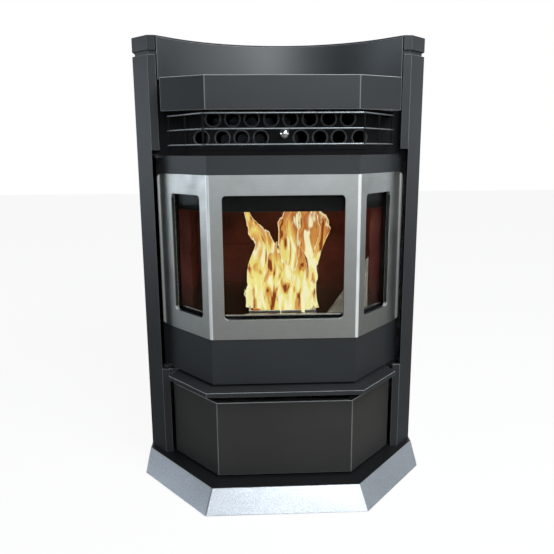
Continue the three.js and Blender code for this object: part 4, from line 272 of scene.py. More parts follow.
def edit_where(piece, kind, test):
    """Enters edit mode with the vertices, edges or faces that pass the test selected."""
    only(piece)
    bpy.ops.object.mode_set(mode="EDIT")
    bpy.ops.mesh.select_mode(type=kind)
    bpy.ops.mesh.select_all(action="DESELECT")
    bpy.ops.object.mode_set(mode="OBJECT")
    mesh = piece.data
    found = 0
    if kind == "EDGE":
        for edge in mesh.edges:
            edge.select = all(test(mesh.vertices[i].co) for i in edge.vertices)
            found += edge.select
    elif kind == "FACE":
        for face in mesh.polygons:
            face.select = test(face)
            found += face.select
    else:
        for vertex in mesh.vertices:
            vertex.select = test(vertex.co)
            found += vertex.select
    if not found:
        raise RuntimeError(f"{piece.name}: nothing to select")
    bpy.ops.object.mode_set(mode="EDIT")


def leave_edit():
    bpy.ops.object.mode_set(mode="OBJECT")


def outward(piece):
    edit_where(piece, "FACE", lambda face: True)
    bpy.ops.mesh.normals_make_consistent(inside=False)
    leave_edit()


def joined(name, pieces):
    """Several objects made one."""
    only(pieces[0])
    for other in pieces:
        other.select_set(True)
    bpy.context.view_layer.objects.active = pieces[0]
    bpy.ops.object.join()
    return name_piece(name)


def finish_piece(piece, material, slot, body, *nodes):
    """Gives a piece its material and the body it rides on, and hides the nodes it stands for. Its slot argument is
    not used.
    """
    piece.data.materials.clear()
    piece.data.materials.append(material)
    if nodes:
        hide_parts(*nodes)
    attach(piece, body)
    return piece


def rod(start, end, radius, sides=24):
    """A round bar between two points."""
    start, end = Vector(start), Vector(end)
    along = end - start
    return settle(added(
        bpy.ops.mesh.primitive_cylinder_add, vertices=sides, radius=radius, depth=along.length,
        location=(start + end) / 2, rotation=along.to_track_quat("Z", "Y").to_euler()))


def bay_points(half_front, front_y, angle, wing):
    """The plan of a three-facet bay, from its left end to its right end."""
    far_x = half_front + wing * math.cos(angle)
    far_y = front_y + wing * math.sin(angle)
    return [Vector((-far_x, far_y)), Vector((-half_front, front_y)),
            Vector((half_front, front_y)), Vector((far_x, far_y))]


def rounded_line(points, radius, steps):
    """The same open line with its bends turned into arcs."""
    line = [points[0]]
    for before, here, after in zip(points, points[1:], points[2:]):
        into, out = (here - before).normalized(), (after - here).normalized()
        turn = into.angle(out)
        reach = radius * math.tan(turn / 2)
        start, end = here - into * reach, here + out * reach
        for i in range(steps + 1):
            t = i / steps
            line.append((1 - t) ** 2 * start + 2 * t * (1 - t) * here + t ** 2 * end)
    line.append(points[-1])
    return line


def sweep(name, points, depth=0.0, height=0.0, resolution=4):
    """A mesh swept along an open line of points: a round wire, or an upright strip."""
    bpy.ops.object.select_all(action="DESELECT")
    bpy.ops.curve.primitive_nurbs_path_add(location=(0, 0, 0))
    curve = bpy.context.object
    curve.data.splines.clear()
    spline = curve.data.splines.new("POLY")
    spline.points.add(len(points) - 1)
    for slot_point, place in zip(spline.points, points):
        slot_point.co = (*place, 1)
    curve.data.dimensions = "3D"
    curve.data.twist_mode = "Z_UP"
    curve.data.bevel_depth = depth
    curve.data.bevel_resolution = resolution
    curve.data.extrude = height / 2
    curve.data.use_fill_caps = depth > 0
    only(curve)
    bpy.ops.object.convert(target="MESH")
    return name_piece(name)


def dressed(node, name, width, slot, material, segments=2, degrees=28, sharpest=30):
    """A copy of a CAD node with its flat faces whole and its edges rounded."""
    only(frame["nodes"][node])
    bpy.ops.object.duplicate()
    piece = name_piece(name)
    piece.parent = None
    for key in list(piece.keys()):
        del piece[key]
    edit_where(piece, "VERT", lambda place: True)
    bpy.ops.mesh.remove_doubles(threshold=0.00001)
    bpy.ops.mesh.dissolve_limited(angle_limit=math.radians(0.5))
    leave_edit()
    apply_modifier(
        piece, "BEVEL", width=width, segments=segments, limit_method="ANGLE",
        angle_limit=math.radians(degrees), use_clamp_overlap=True, harden_normals=False)
    mark_rims(piece, width)
    smooth(piece, sharpest)
    flat_faces(piece)
    return finish_piece(piece, material, slot, frame["nodes"][node]["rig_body"], node)


# ---------- material helpers ----------
def put(tree, kind, inputs=None, **settings):
    """Adds a node. Its inputs are named or numbered, and each takes a value or another node's output."""
    node = tree.nodes.new(kind)
    for key, value in settings.items():
        setattr(node, key, value)
    for key, value in (inputs or {}).items():
        if isinstance(value, bpy.types.NodeSocket):
            tree.links.new(value, node.inputs[key])
        else:
            node.inputs[key].default_value = value
    return node


def ramp(tree, factor, *stops):
    """A colour ramp with (place, colour or grey) stops."""
    node = put(tree, "ShaderNodeValToRGB", {0: factor})
    elements = node.color_ramp.elements
    while len(elements) < len(stops):
        elements.new(0.5)
    for element, (place, colour) in zip(elements, stops):
        element.position = place
        element.color = (colour,) * 3 + (1,) if isinstance(colour, (int, float)) else (*colour, 1)
    return node.outputs[0]


def spread(tree, factor, low, high):
    """The factor's 0 to 1 laid over low to high."""
    return put(tree, "ShaderNodeMapRange", {0: factor, 3: low, 4: high}).outputs[0]


def remap(tree, value, given, wanted=(0.0, 1.0), soft=False):
    """The value's given range laid over the wanted one, held at its ends."""
    node = put(tree, "ShaderNodeMapRange", {0: value, 1: given[0], 2: given[1], 3: wanted[0], 4: wanted[1]})
    node.interpolation_type = "SMOOTHSTEP" if soft else "LINEAR"
    return node.outputs[0]


def object_place(tree):
    return put(tree, "ShaderNodeTexCoord").outputs["Object"]


def noise(tree, place, scale, **settings):
    return put(tree, "ShaderNodeTexNoise", {"Vector": place, "Scale": scale, **settings}).outputs[0]


def blend(tree, factor, first, second, how="MIX"):
    first, second = (rgb(tone) if isinstance(tone, tuple) else tone for tone in (first, second))
    node = put(tree, "ShaderNodeMix", {0: factor, 6: first, 7: second}, data_type="RGBA", blend_type=how)
    return node.outputs[2]


def maths(tree, how, first, second=0.0, clamp=False):
    return put(tree, "ShaderNodeMath", {0: first, 1: second}, operation=how, use_clamp=clamp).outputs[0]


def rgb(colour):
    return (*colour, 1.0)


def shade(colour, factor):
    return tuple(min(1.0, channel * factor) for channel in colour)


def group_of(name, inputs, outputs, build):
    """A node group made once. Its inputs are (name, default) numbers."""
    group = bpy.data.node_groups.get(name)
    if group:
        return group
    group = bpy.data.node_groups.new(name, "ShaderNodeTree")
    for label, default in inputs:
        socket = group.interface.new_socket(name=label, in_out="INPUT", socket_type="NodeSocketFloat")
        socket.default_value = default
    for label in outputs:
        group.interface.new_socket(name=label, in_out="OUTPUT", socket_type="NodeSocketFloat")
    source = group.nodes.new("NodeGroupInput")
    sink = group.nodes.new("NodeGroupOutput")
    for label, value in zip(outputs, build(group, source.outputs)):
        group.links.new(value, sink.inputs[label])
    return group


def use_group(tree, group, **values):
    node = tree.nodes.new("ShaderNodeGroup")
    node.node_tree = group
    for label, value in values.items():
        node.inputs[label].default_value = value
    return node.outputs


def grain_group():
    """Fine specks, as in powder coat or cast paint: a mask and a height."""
    def build(tree, given):
        place = object_place(tree)
        fine = noise(tree, place, given["Scale"], Detail=3.0, Roughness=0.6)
        mask = ramp(tree, fine, (0.36, 0.0), (0.64, 1.0))
        return mask, fine
    return group_of("Fine Grain", [("Scale", 900.0)], ["Mask", "Height"], build)


def cloud_group():
    """Large soft patches over a surface."""
    def build(tree, given):
        place = object_place(tree)
        large = noise(tree, place, given["Scale"], Detail=4.0, Roughness=0.55)
        return (ramp(tree, large, (0.3, 0.0), (0.7, 1.0)),)
    return group_of("Soft Clouds", [("Scale", 6.0)], ["Mask"], build)


def dust_group():
    """Faces that look up, broken up by patches: where dust settles."""
    def build(tree, given):
        normal = put(tree, "ShaderNodeNewGeometry").outputs["Normal"]
        up = put(tree, "ShaderNodeSeparateXYZ", {0: normal}).outputs["Z"]
        place = object_place(tree)
        patches = noise(tree, place, given["Scale"], Detail=5.0)
        facing = remap(tree, up, (0.6, 1.0))
        return (maths(tree, "MULTIPLY", facing, patches, clamp=True),)
    return group_of("Settled Dust", [("Scale", 40.0)], ["Mask"], build)


def rim_group():
    """Rounded edges, brightest where they look up, broken up by patches: partly wear and partly a painted
    highlight.
    """
    def build(tree, given):
        rim = put(tree, "ShaderNodeAttribute", attribute_name="rim").outputs["Fac"]
        normal = put(tree, "ShaderNodeNewGeometry").outputs["Normal"]
        up = put(tree, "ShaderNodeSeparateXYZ", {0: normal}).outputs["Z"]
        # Brighter on edges that look up: a painted highlight standing in for the light from above.
        up = remap(tree, up, (0.1, 0.6), (given["Sides"], 1.0))
        place = object_place(tree)
        wear = noise(tree, place, given["Scale"], Detail=4.0)
        wear_and_highlight = maths(tree, "MULTIPLY", up, spread(tree, wear, 0.5, 1.3))
        return (maths(tree, "MULTIPLY", rim, wear_and_highlight, clamp=True),)
    return group_of("Rounded Rims", [("Scale", 24.0), ("Sides", 0.3)], ["Mask"], build)


def streak_group():
    """Long fine brush lines along X and Y."""
    def build(tree, given):
        place = object_place(tree)
        drawn = put(tree, "ShaderNodeMapping", {"Vector": place, "Scale": (14.0, 14.0, 1.0)}).outputs[0]
        raised = put(tree, "ShaderNodeSeparateXYZ", {0: drawn}).outputs
        height = maths(tree, "MULTIPLY", raised["Z"], given["Lines"])
        pulled = put(tree, "ShaderNodeCombineXYZ",
                     {"X": raised["X"], "Y": raised["Y"], "Z": height}).outputs[0]
        lines = noise(tree, pulled, 1.0, Detail=5.0, Roughness=0.7)
        return ramp(tree, lines, (0.32, 0.0), (0.68, 1.0)), lines
    return group_of("Brush Lines", [("Lines", 2200.0)], ["Mask", "Height"], build)


def start_material(name):
    material = bpy.data.materials.new(name)
    material.use_nodes = True
    tree = material.node_tree
    tree.nodes.clear()
    shader = tree.nodes.new("ShaderNodeBsdfPrincipled")
    sink = tree.nodes.new("ShaderNodeOutputMaterial")
    tree.links.new(shader.outputs[0], sink.inputs[0])
    return material, tree, shader


def wire_up(tree, shader, **values):
    """Sets or links the shader's sockets, with _ for a space."""
    for label, value in values.items():
        socket = shader.inputs[label.replace("_", " ")]
        if isinstance(value, bpy.types.NodeSocket):
            tree.links.new(value, socket)
        else:
            socket.default_value = value


def bump(tree, height, strength, distance):
    given = {"Strength": strength, "Distance": distance, "Height": height}
    return put(tree, "ShaderNodeBump", given).outputs[0]


# ---------- finishes ----------
def coated_sheet(name, colour, roughness=(0.42, 0.52), grain=1400.0, depth=0.00006, metallic=0.0,
                 shine=0.35, clouds=5.0, dust=0.10, rim=0.8):
    """Satin powder coat: fine orange peel, soft patches, a little dust on ledges, and lighter rounded rims that
    are partly wear and partly painted highlight.
    """
    material, tree, shader = start_material(name)
    grains = use_group(tree, grain_group(), Scale=grain)
    patches = use_group(tree, cloud_group(), Scale=clouds)["Mask"]
    settled = use_group(tree, dust_group(), Scale=30.0)["Mask"]
    base = blend(tree, patches, shade(colour, 0.82), shade(colour, 1.2))
    base = blend(tree, spread(tree, grains["Mask"], 0.0, 0.35), base, shade(colour, 1.7))
    base = blend(tree, maths(tree, "MULTIPLY", settled, dust), base, (0.22, 0.21, 0.19))
    # Rounded rims lightened towards pale grey: partly wear, partly a painted highlight.
    rims = use_group(tree, rim_group(), Scale=24.0)["Mask"]
    base = blend(tree, maths(tree, "MULTIPLY", rims, rim), base, (0.60, 0.62, 0.63))
    rough = spread(tree, grains["Mask"], *roughness)
    wire_up(tree, shader, Base_Color=base, Roughness=rough, Metallic=metallic, Specular_IOR_Level=shine,
            Normal=bump(tree, grains["Height"], 0.5, depth))
    return material


def hammered_paint(name, colour):
    """Silver-grey hammered paint with bright flecks."""
    material, tree, shader = start_material(name)
    place = object_place(tree)
    cells = put(tree, "ShaderNodeTexVoronoi", {"Vector": place, "Scale": 620.0, "Randomness": 1.0})
    grains = use_group(tree, grain_group(), Scale=850.0)
    patches = use_group(tree, cloud_group(), Scale=9.0)["Mask"]
    base = blend(tree, patches, shade(colour, 0.8), shade(colour, 1.15))
    base = blend(tree, grains["Mask"], base, shade(colour, 1.7))
    flecks = ramp(tree, cells.outputs["Distance"], (0.0, 1.0), (0.22, 0.0))
    base = blend(tree, spread(tree, flecks, 0.0, 0.5), base, (0.75, 0.77, 0.8))
    height = maths(tree, "ADD", grains["Height"], cells.outputs["Distance"])
    normal = put(tree, "ShaderNodeNewGeometry").outputs["Normal"]
    rise = put(tree, "ShaderNodeSeparateXYZ", {0: normal}).outputs["Z"]
    ledge = remap(tree, rise, (0.85, 0.95))
    base = blend(tree, ledge, base, (0.010, 0.011, 0.012))
    wire_up(tree, shader, Base_Color=base, Metallic=spread(tree, ledge, 0.92, 0.0), Specular_IOR_Level=0.4,
            Roughness=spread(tree, grains["Mask"], 0.44, 0.3), Normal=bump(tree, height, 0.7, 0.00025))
    return material


def brushed_sheet(name, colour, roughness=(0.26, 0.42), lines=2200.0, stain=0.75):
    """Brushed stainless steel with fine lines, cloudy heat marks and a near-white painted highlight on its rounded
    rims.
    """
    material, tree, shader = start_material(name)
    streaks = use_group(tree, streak_group(), Lines=lines)
    patches = use_group(tree, cloud_group(), Scale=15.0)["Mask"]
    broad = use_group(tree, cloud_group(), Scale=4.0)["Mask"]
    base = blend(tree, spread(tree, streaks["Mask"], 0.0, 0.55), colour, shade(colour, 0.72))
    base = blend(tree, maths(tree, "MULTIPLY", patches, stain), base, shade(colour, 0.66))
    base = blend(tree, maths(tree, "MULTIPLY", broad, 0.35), base, (0.55, 0.53, 0.48))
    # Rounded rims painted near white and less metallic: a painted highlight, broken up by patches.
    rims = use_group(tree, rim_group(), Scale=18.0, Sides=0.9)["Mask"]
    base = blend(tree, rims, base, (0.92, 0.93, 0.93))
    rough = maths(tree, "ADD", spread(tree, streaks["Mask"], *roughness), spread(tree, patches, 0.0, 0.14))
    wire_up(tree, shader, Base_Color=base, Metallic=spread(tree, rims, 1.0, 0.25), Roughness=rough,
            Normal=bump(tree, streaks["Height"], 0.25, 0.00004))
    return material


def turned_steel(name, colour):
    """Turned or drawn steel, nearly polished."""
    material, tree, shader = start_material(name)
    grains = use_group(tree, grain_group(), Scale=2600.0)
    patches = use_group(tree, cloud_group(), Scale=60.0)["Mask"]
    base = blend(tree, patches, shade(colour, 0.86), colour)
    wire_up(tree, shader, Base_Color=base, Metallic=1.0, Roughness=spread(tree, grains["Mask"], 0.1, 0.2),
            Normal=bump(tree, grains["Height"], 0.1, 0.00002))
    return material


def zinc_sheet(name):
    """Zinc-coated sheet with its spangle."""
    material, tree, shader = start_material(name)
    place = object_place(tree)
    spangle = put(tree, "ShaderNodeTexVoronoi", {"Vector": place, "Scale": 95.0})
    tone = put(tree, "ShaderNodeSeparateColor", {0: spangle.outputs["Color"]}).outputs[0]
    patches = use_group(tree, cloud_group(), Scale=12.0)["Mask"]
    base = blend(tree, tone, (0.40, 0.42, 0.44), (0.62, 0.63, 0.65))
    base = blend(tree, maths(tree, "MULTIPLY", patches, 0.3), base, (0.32, 0.32, 0.32))
    wire_up(tree, shader, Base_Color=base, Metallic=0.9, Roughness=spread(tree, tone, 0.36, 0.55))
    return material


def firebrick(name, colour):
    """Red-brown fire board: pale specks and pits, and darker towards the bottom."""
    material, tree, shader = start_material(name)
    place = object_place(tree)
    grains = use_group(tree, grain_group(), Scale=420.0)
    patches = use_group(tree, cloud_group(), Scale=14.0)["Mask"]
    specks = put(tree, "ShaderNodeTexVoronoi", {"Vector": place, "Scale": 210.0})
    pale = ramp(tree, specks.outputs["Distance"], (0.0, 1.0), (0.16, 0.0))
    base = blend(tree, patches, shade(colour, 0.55), shade(colour, 1.35))
    base = blend(tree, spread(tree, grains["Mask"], 0.0, 0.5), base, shade(colour, 0.4))
    base = blend(tree, maths(tree, "MULTIPLY", pale, 0.3), base, (0.55, 0.33, 0.25))
    rise = put(tree, "ShaderNodeSeparateXYZ", {0: place}).outputs["Z"]
    # The board darkens towards the bottom.
    darker_low_down = remap(tree, rise, (0.44, 0.37), (0.0, 0.75))
    base = blend(tree, darker_low_down, base, (0.035, 0.028, 0.02))
    wire_up(tree, shader, Base_Color=base, Roughness=spread(tree, grains["Mask"], 0.82, 0.95),
            Specular_IOR_Level=0.2, Normal=bump(tree, grains["Height"], 0.8, 0.0006))
    return material


def clear_glass(name):
    """Ceramic glass with a breath of smoke on it."""
    material, tree, shader = start_material(name)
    patches = use_group(tree, cloud_group(), Scale=16.0)["Mask"]
    base = blend(tree, patches, (0.96, 0.96, 0.95), (0.88, 0.86, 0.82))
    wire_up(tree, shader, Base_Color=base, Metallic=0.0, Roughness=spread(tree, patches, 0.0, 0.03),
            Transmission_Weight=1.0, IOR=1.06)
    return material


def woven_fibre(name):
    """Mottled glass-fibre tape."""
    material, tree, shader = start_material(name)
    place = object_place(tree)
    knots = put(tree, "ShaderNodeTexVoronoi", {"Vector": place, "Scale": 480.0}).outputs["Distance"]
    grains = use_group(tree, grain_group(), Scale=700.0)
    base = blend(tree, ramp(tree, knots, (0.1, 1.0), (0.6, 0.0)), (0.12, 0.11, 0.1), (0.62, 0.6, 0.56))
    base = blend(tree, spread(tree, grains["Mask"], 0.0, 0.45), base, (0.3, 0.26, 0.2))
    wire_up(tree, shader, Base_Color=base, Roughness=0.95, Normal=bump(tree, knots, 0.8, 0.0008))
    return material


def moulded_plastic(name, colour):
    """Fine-grained moulded plastic."""
    material, tree, shader = start_material(name)
    grains = use_group(tree, grain_group(), Scale=1900.0)
    base = blend(tree, grains["Mask"], shade(colour, 0.85), shade(colour, 1.25))
    wire_up(tree, shader, Base_Color=base, Roughness=spread(tree, grains["Mask"], 0.45, 0.6),
            Normal=bump(tree, grains["Height"], 0.3, 0.00008))
    return material


def glowing_pellets(name, heat):
    """Charred pellets that glow where the fire reaches them."""
    material, tree, shader = start_material(name)
    place = object_place(tree)
    coals = noise(tree, place, 55.0, Detail=5.0)
    glow = ramp(tree, coals, (0.44, 0.0), (0.62, 1.0))
    grains = use_group(tree, grain_group(), Scale=800.0)
    base = blend(tree, grains["Mask"], (0.02, 0.015, 0.012), (0.13, 0.08, 0.045))
    fire = ramp(tree, coals, (0.45, 0.0), (0.56, (0.9, 0.12, 0.01)), (0.66, (1.0, 0.42, 0.06)))
    wire_up(tree, shader, Base_Color=base, Roughness=0.9, Emission_Color=blend(tree, glow, (0, 0, 0), fire),
            Emission_Strength=heat, Normal=bump(tree, grains["Height"], 0.8, 0.0005))
    return material


def ash(name):
    """Pale ash with grit and charred specks."""
    material, tree, shader = start_material(name)
    place = object_place(tree)
    grains = use_group(tree, grain_group(), Scale=520.0)
    patches = use_group(tree, cloud_group(), Scale=30.0)["Mask"]
    grit = put(tree, "ShaderNodeTexVoronoi", {"Vector": place, "Scale": 330.0}).outputs["Distance"]
    base = blend(tree, patches, (0.46, 0.42, 0.35), (0.72, 0.67, 0.58))
    base = blend(tree, grains["Mask"], base, (0.20, 0.18, 0.15))
    base = blend(tree, ramp(tree, grit, (0.0, 0.9), (0.3, 0.0)), base, (0.05, 0.045, 0.04))
    wire_up(tree, shader, Base_Color=base, Roughness=spread(tree, patches, 0.9, 0.98),
            Normal=bump(tree, grains["Height"], 0.9, 0.0012))
    return material


def flame(name, strength):
    """Flame sheet. U runs across a tongue and V from its root to its tip, both stored in its UV map."""
    material, tree, shader = start_material(name)
    uv = put(tree, "ShaderNodeUVMap", uv_map="UVMap").outputs[0]
    place = object_place(tree)
    across = put(tree, "ShaderNodeSeparateXYZ", {0: uv}).outputs
    drawn = put(tree, "ShaderNodeMapping", {"Vector": place, "Scale": (1.0, 1.0, 0.4)}).outputs[0]
    curls = noise(tree, drawn, 30.0, Detail=3.0, Roughness=0.5, Distortion=1.1)
    thin = put(tree, "ShaderNodeMapping", {"Vector": place, "Scale": (1.0, 0.5, 0.24)}).outputs[0]
    licks = noise(tree, thin, 74.0, Detail=1.5, Roughness=0.45, Distortion=0.7)
    side = maths(tree, "ABSOLUTE", maths(tree, "SUBTRACT", maths(tree, "MULTIPLY", across["X"], 2.0), 1.0))
    side = maths(tree, "ADD", side, maths(tree, "MULTIPLY", maths(tree, "SUBTRACT", curls, 0.5), 1.7))
    body = maths(tree, "SUBTRACT", 1.0, side)
    taper = remap(tree, across["Y"], (0.75, 1.0), (0.0, 0.55))
    body = maths(tree, "SUBTRACT", body, taper)
    cover = remap(tree, body, (0.04, 0.10), soft=True)
    broad = noise(tree, drawn, 16.0, Detail=2.0)
    heat = maths(tree, "ADD", maths(tree, "MULTIPLY", body, 0.25), maths(tree, "MULTIPLY", broad, 1.5))
    heat = maths(tree, "SUBTRACT", heat, maths(tree, "MULTIPLY", across["Y"], 0.62))
    tone = ramp(tree, heat, (0.18, (0.46, 0.15, 0.035)), (0.34, (0.62, 0.27, 0.075)), (0.46, (0.80, 0.50, 0.12)),
                (0.58, (0.88, 0.76, 0.22)), (0.78, (0.90, 0.83, 0.28)), (1.0, (0.94, 0.91, 0.46)))
    tone = blend(tree, ramp(tree, licks, (0.56, 0.0), (0.64, 0.9)), tone, (1.0, 0.97, 0.62))
    tone = blend(tree, ramp(tree, licks, (0.41, 0.9), (0.47, 0.0)), tone, (0.66, 0.29, 0.06))
    tone = blend(tree, ramp(tree, licks, (0.345, 0.95), (0.375, 0.0)), tone, (0.22, 0.04, 0.01))
    skirt = ramp(tree, body, (0.06, 1.0), (0.12, 1.0), (0.2, 0.0))
    tone = blend(tree, maths(tree, "MULTIPLY", skirt, 0.75), tone, (1.0, 0.93, 0.55))
    solid = remap(tree, heat, (0.2, 0.6), (0.86, 0.98))
    alpha = maths(tree, "MULTIPLY", cover, solid, clamp=True)
    wire_up(tree, shader, Base_Color=rgb((0, 0, 0)), Roughness=1.0, Specular_IOR_Level=0.0,
            Emission_Color=tone, Emission_Strength=strength, Alpha=alpha)
    return material


def floor_paint(name):
    """Pale floor that shows as white to the camera and keeps the shadow."""
    material = bpy.data.materials.new(name)
    material.use_nodes = True
    tree = material.node_tree
    tree.nodes.clear()
    grains = use_group(tree, cloud_group(), Scale=2.0)["Mask"]
    seen = put(tree, "ShaderNodeLightPath").outputs["Is Camera Ray"]
    tone = blend(tree, grains, (0.34, 0.325, 0.29), (0.40, 0.38, 0.34))
    tone = blend(tree, seen, tone, (0.96, 0.96, 0.96))
    lit = put(tree, "ShaderNodeBsdfDiffuse", {"Color": tone})
    glow = put(tree, "ShaderNodeEmission", {"Color": rgb((1, 1, 1)), "Strength": 1.03})
    share = maths(tree, "MULTIPLY", seen, 0.9)
    mixed = put(tree, "ShaderNodeMixShader", {0: share, 1: lit.outputs[0], 2: glow.outputs[0]})
    put(tree, "ShaderNodeOutputMaterial", {0: mixed.outputs[0]})
    return material


FINISHES = {}


def finish(slot):
    return FINISHES[slot]


class STOVE_OT_finishes(bpy.types.Operator):
    """Makes every finish and gives each piece of the frame its own"""

    bl_idname = "stove.finishes"
    bl_label = "Finishes"

    def execute(self, context):
        tones = context.scene.stove_finish
        FINISHES.update(
            black_coat=coated_sheet("Satin Black Coat", tuple(tones.coat)),
            bowed_coat=coated_sheet(
                "Satin Bowed Wall Coat", tuple(tones.coat), shine=0.9, roughness=(0.36, 0.46)),
            drawer_coat=coated_sheet("Satin Drawer Coat", tuple(tones.drawer), shine=0.45),
            dark_steel=coated_sheet(
                "Heat-proof Matt Black", (0.006, 0.0065, 0.007), roughness=(0.6, 0.75), grain=800.0,
                shine=0.15, dust=0.1, rim=0.12),
            pedestal_coat=hammered_paint("Hammered Grey", tuple(tones.pedestal)),
            brushed_steel=brushed_sheet("Brushed Trim", tuple(tones.trim)),
            bright_steel=turned_steel("Turned Steel", (0.78, 0.78, 0.79)),
            galvanised=zinc_sheet("Zinc Sheet"),
            firebrick=firebrick("Fire Board", tuple(tones.brick)),
            glass=clear_glass("Ceramic Glass"),
            fibreglass=woven_fibre("Glass-fibre Tape"),
            embers=glowing_pellets("Burning Pellets", 1.2),
            black_plastic=moulded_plastic("Black Plastic", (0.02, 0.02, 0.021)),
            red_plastic=moulded_plastic("Red Plastic", (0.42, 0.02, 0.015)),
            # Glossier coat, a little lighter than the casing's: the lighter tone is a painted highlight on the
            # tube rims.
            tube_rim=coated_sheet(
                "Worn Tube Rim", (0.030, 0.033, 0.036), roughness=(0.3, 0.42), grain=900.0,
                shine=0.7, dust=0.0),
            flame=flame("Flame", 1.0),
            # Black wire painted mid grey: a painted highlight for the light falling on the wires from above.
            grille_wire=coated_sheet(
                "Glossy Black Wire", (0.20, 0.215, 0.225), roughness=(0.22, 0.3),
                shine=0.9, dust=0.0, metallic=0.8),
            # Posts darker than the casing's black coat: painted shade for posts that sit in shadow.
            grille_post=coated_sheet(
                "Matt Black Post", (0.006, 0.006, 0.006), roughness=(0.7, 0.8), shine=0.1, dust=0.0),
            ash=ash("Ash and Grit"),
            sill_edge=turned_steel("Bare Sill Edge", (0.86, 0.86, 0.87)),
        )
        for part in frame["record"]["subparts"]:
            piece = frame["nodes"][part["node"]]
            for place in piece.material_slots:
                place.material = finish(part["material_slot"])
            if not piece.material_slots:
                raise RuntimeError(f"{piece.name} has no material slot")
        return {"FINISHED"}


# ---------- pieces ----------
class STOVE_OT_casing(bpy.types.Operator):
    """Casing, top cover, bowed front wall, hood, shelf lip and pedestal, with rounded edges"""

    bl_idname = "stove.casing"
    bl_label = "Casing"

    def execute(self, context):
        edge = context.scene.stove_sizes.edge_round
        coat, bowed = finish("black_coat"), finish("bowed_coat")
        dressed("side_panel_right", "casing_right", edge, "black_coat", coat)
        dressed("side_panel_left", "casing_left", edge, "black_coat", coat)
        dressed("top_cover", "cover", edge, "black_coat", coat)
        dressed("crown_wall", "bowed_wall", edge / 2, "black_coat", bowed, degrees=40, sharpest=40)
        dressed("hood", "hood_sheet", edge * 1.3, "black_coat", coat, degrees=20)
        dressed("shelf_lip", "lip_sheet", edge, "black_coat", coat)
        dressed("pedestal_base", "pedestal", edge * 1.6, "pedestal_coat", finish("pedestal_coat"))
        dressed("rear_panel", "rear_sheet", edge / 2, "black_coat", coat)
        return {"FINISHED"}


def window_cutter(half_width, angle, centre):
    """A block with rounded upright corners that cuts one window through the trim."""
    height = WINDOW_TOP - WINDOW_BOTTOM
    block = settle(added(
        bpy.ops.mesh.primitive_cube_add, size=1, location=(0, 0, 0), scale=(2 * half_width, CUTTER_DEPTH, height)))
    edit_where(block, "EDGE", lambda place: True)
    leave_edit()
    for edge in block.data.edges:
        ends = [block.data.vertices[i].co for i in edge.vertices]
        edge.select = abs(ends[0].y - ends[1].y) > CUTTER_DEPTH / 2
    bpy.ops.object.mode_set(mode="EDIT")
    bpy.ops.mesh.bevel(offset=WINDOW_RADIUS, offset_type="OFFSET", segments=8, affect="EDGES")
    leave_edit()
    block.rotation_euler = (0, 0, angle)
    block.location = (centre.x, centre.y, (WINDOW_TOP + WINDOW_BOTTOM) / 2)
    return settle(block)


class STOVE_OT_door_trim(bpy.types.Operator):
    """Brushed trim of the bay door: one sheet with soft folds, three windows and rounded corners"""

    bl_idname = "stove.door_trim"
    bl_label = "Door trim"

    def execute(self, context):
        sizes = context.scene.stove_sizes
        outer = -(TRIM_GAP + sizes.trim_sheet)
        tuck = math.tan(DOOR_ANGLE / 2)
        plan = bay_points(DOOR_HALF_FRONT + outer * -tuck, DOOR_FACE_Y + outer, DOOR_ANGLE, TRIM_WING)
        line = rounded_line(plan, sizes.fold_radius, 10)
        middle = (TRIM_BOTTOM + TRIM_TOP) / 2
        sheet = sweep("door_trim_sheet", [(p.x, p.y, middle) for p in line], height=TRIM_TOP - TRIM_BOTTOM)
        outward_y = sum(face.normal.y for face in sheet.data.polygons)
        apply_modifier(sheet, "SOLIDIFY", thickness=sizes.trim_sheet, offset=-1.0 if outward_y < 0 else 1.0,
                       use_even_offset=True)
        outward(sheet)
        along = Vector((math.cos(DOOR_ANGLE), math.sin(DOOR_ANGLE)))
        bend = Vector((DOOR_HALF_FRONT, DOOR_FACE_Y))
        side = bend + along * (SIDE_WINDOW_NEAR + SIDE_WINDOW_FAR) / 2
        half_side = (SIDE_WINDOW_FAR - SIDE_WINDOW_NEAR) / 2
        cutters = [
            window_cutter(CENTRE_WINDOW_HALF, 0, Vector((0, DOOR_FACE_Y))),
            window_cutter(half_side, DOOR_ANGLE, side),
            window_cutter(half_side, -DOOR_ANGLE, Vector((-side.x, side.y))),
        ]
        for cutter in cutters:
            apply_modifier(sheet, "BOOLEAN", operation="DIFFERENCE", solver="EXACT", object=cutter)
            bpy.data.objects.remove(cutter)
        reach = max(vertex.co.x for vertex in sheet.data.vertices) - TRIM_END
        edit_where(sheet, "EDGE", lambda place: abs(place.x) > reach
                   and min(abs(place.z - TRIM_TOP), abs(place.z - TRIM_BOTTOM)) < TOUCHING)
        bpy.ops.mesh.bevel(offset=sizes.trim_corner, offset_type="OFFSET", segments=6, affect="EDGES")
        leave_edit()
        apply_modifier(sheet, "BEVEL", width=TRIM_EDGE, segments=2, limit_method="ANGLE",
                       angle_limit=math.radians(40), use_clamp_overlap=True)
        mark_rims(sheet, TRIM_RIM_FACE)
        flat_faces(smooth(sheet, 35))
        finish_piece(sheet, finish("brushed_steel"), "brushed_steel", "bay_door", "door_trim")
        return {"FINISHED"}


class STOVE_OT_door(bpy.types.Operator):
    """Door frame, hinges, latch and ash drawer with rounded edges"""

    bl_idname = "stove.door"
    bl_label = "Door and drawer"

    def execute(self, context):
        edge = context.scene.stove_sizes.edge_round
        dressed("door_frame", "door_casting", edge * 1.5, "black_coat", finish("black_coat"))
        dressed("door_latch", "latch_lever", edge / 2, "dark_steel", finish("dark_steel"))
        dressed("ash_drawer_front", "drawer_sheet", edge * 1.3, "black_coat", finish("drawer_coat"))
        for level in ("top", "bottom"):
            dressed(f"hinge_pin_{level}", f"hinge_{level}", edge / 3, "dark_steel", finish("dark_steel"))
        return {"FINISHED"}


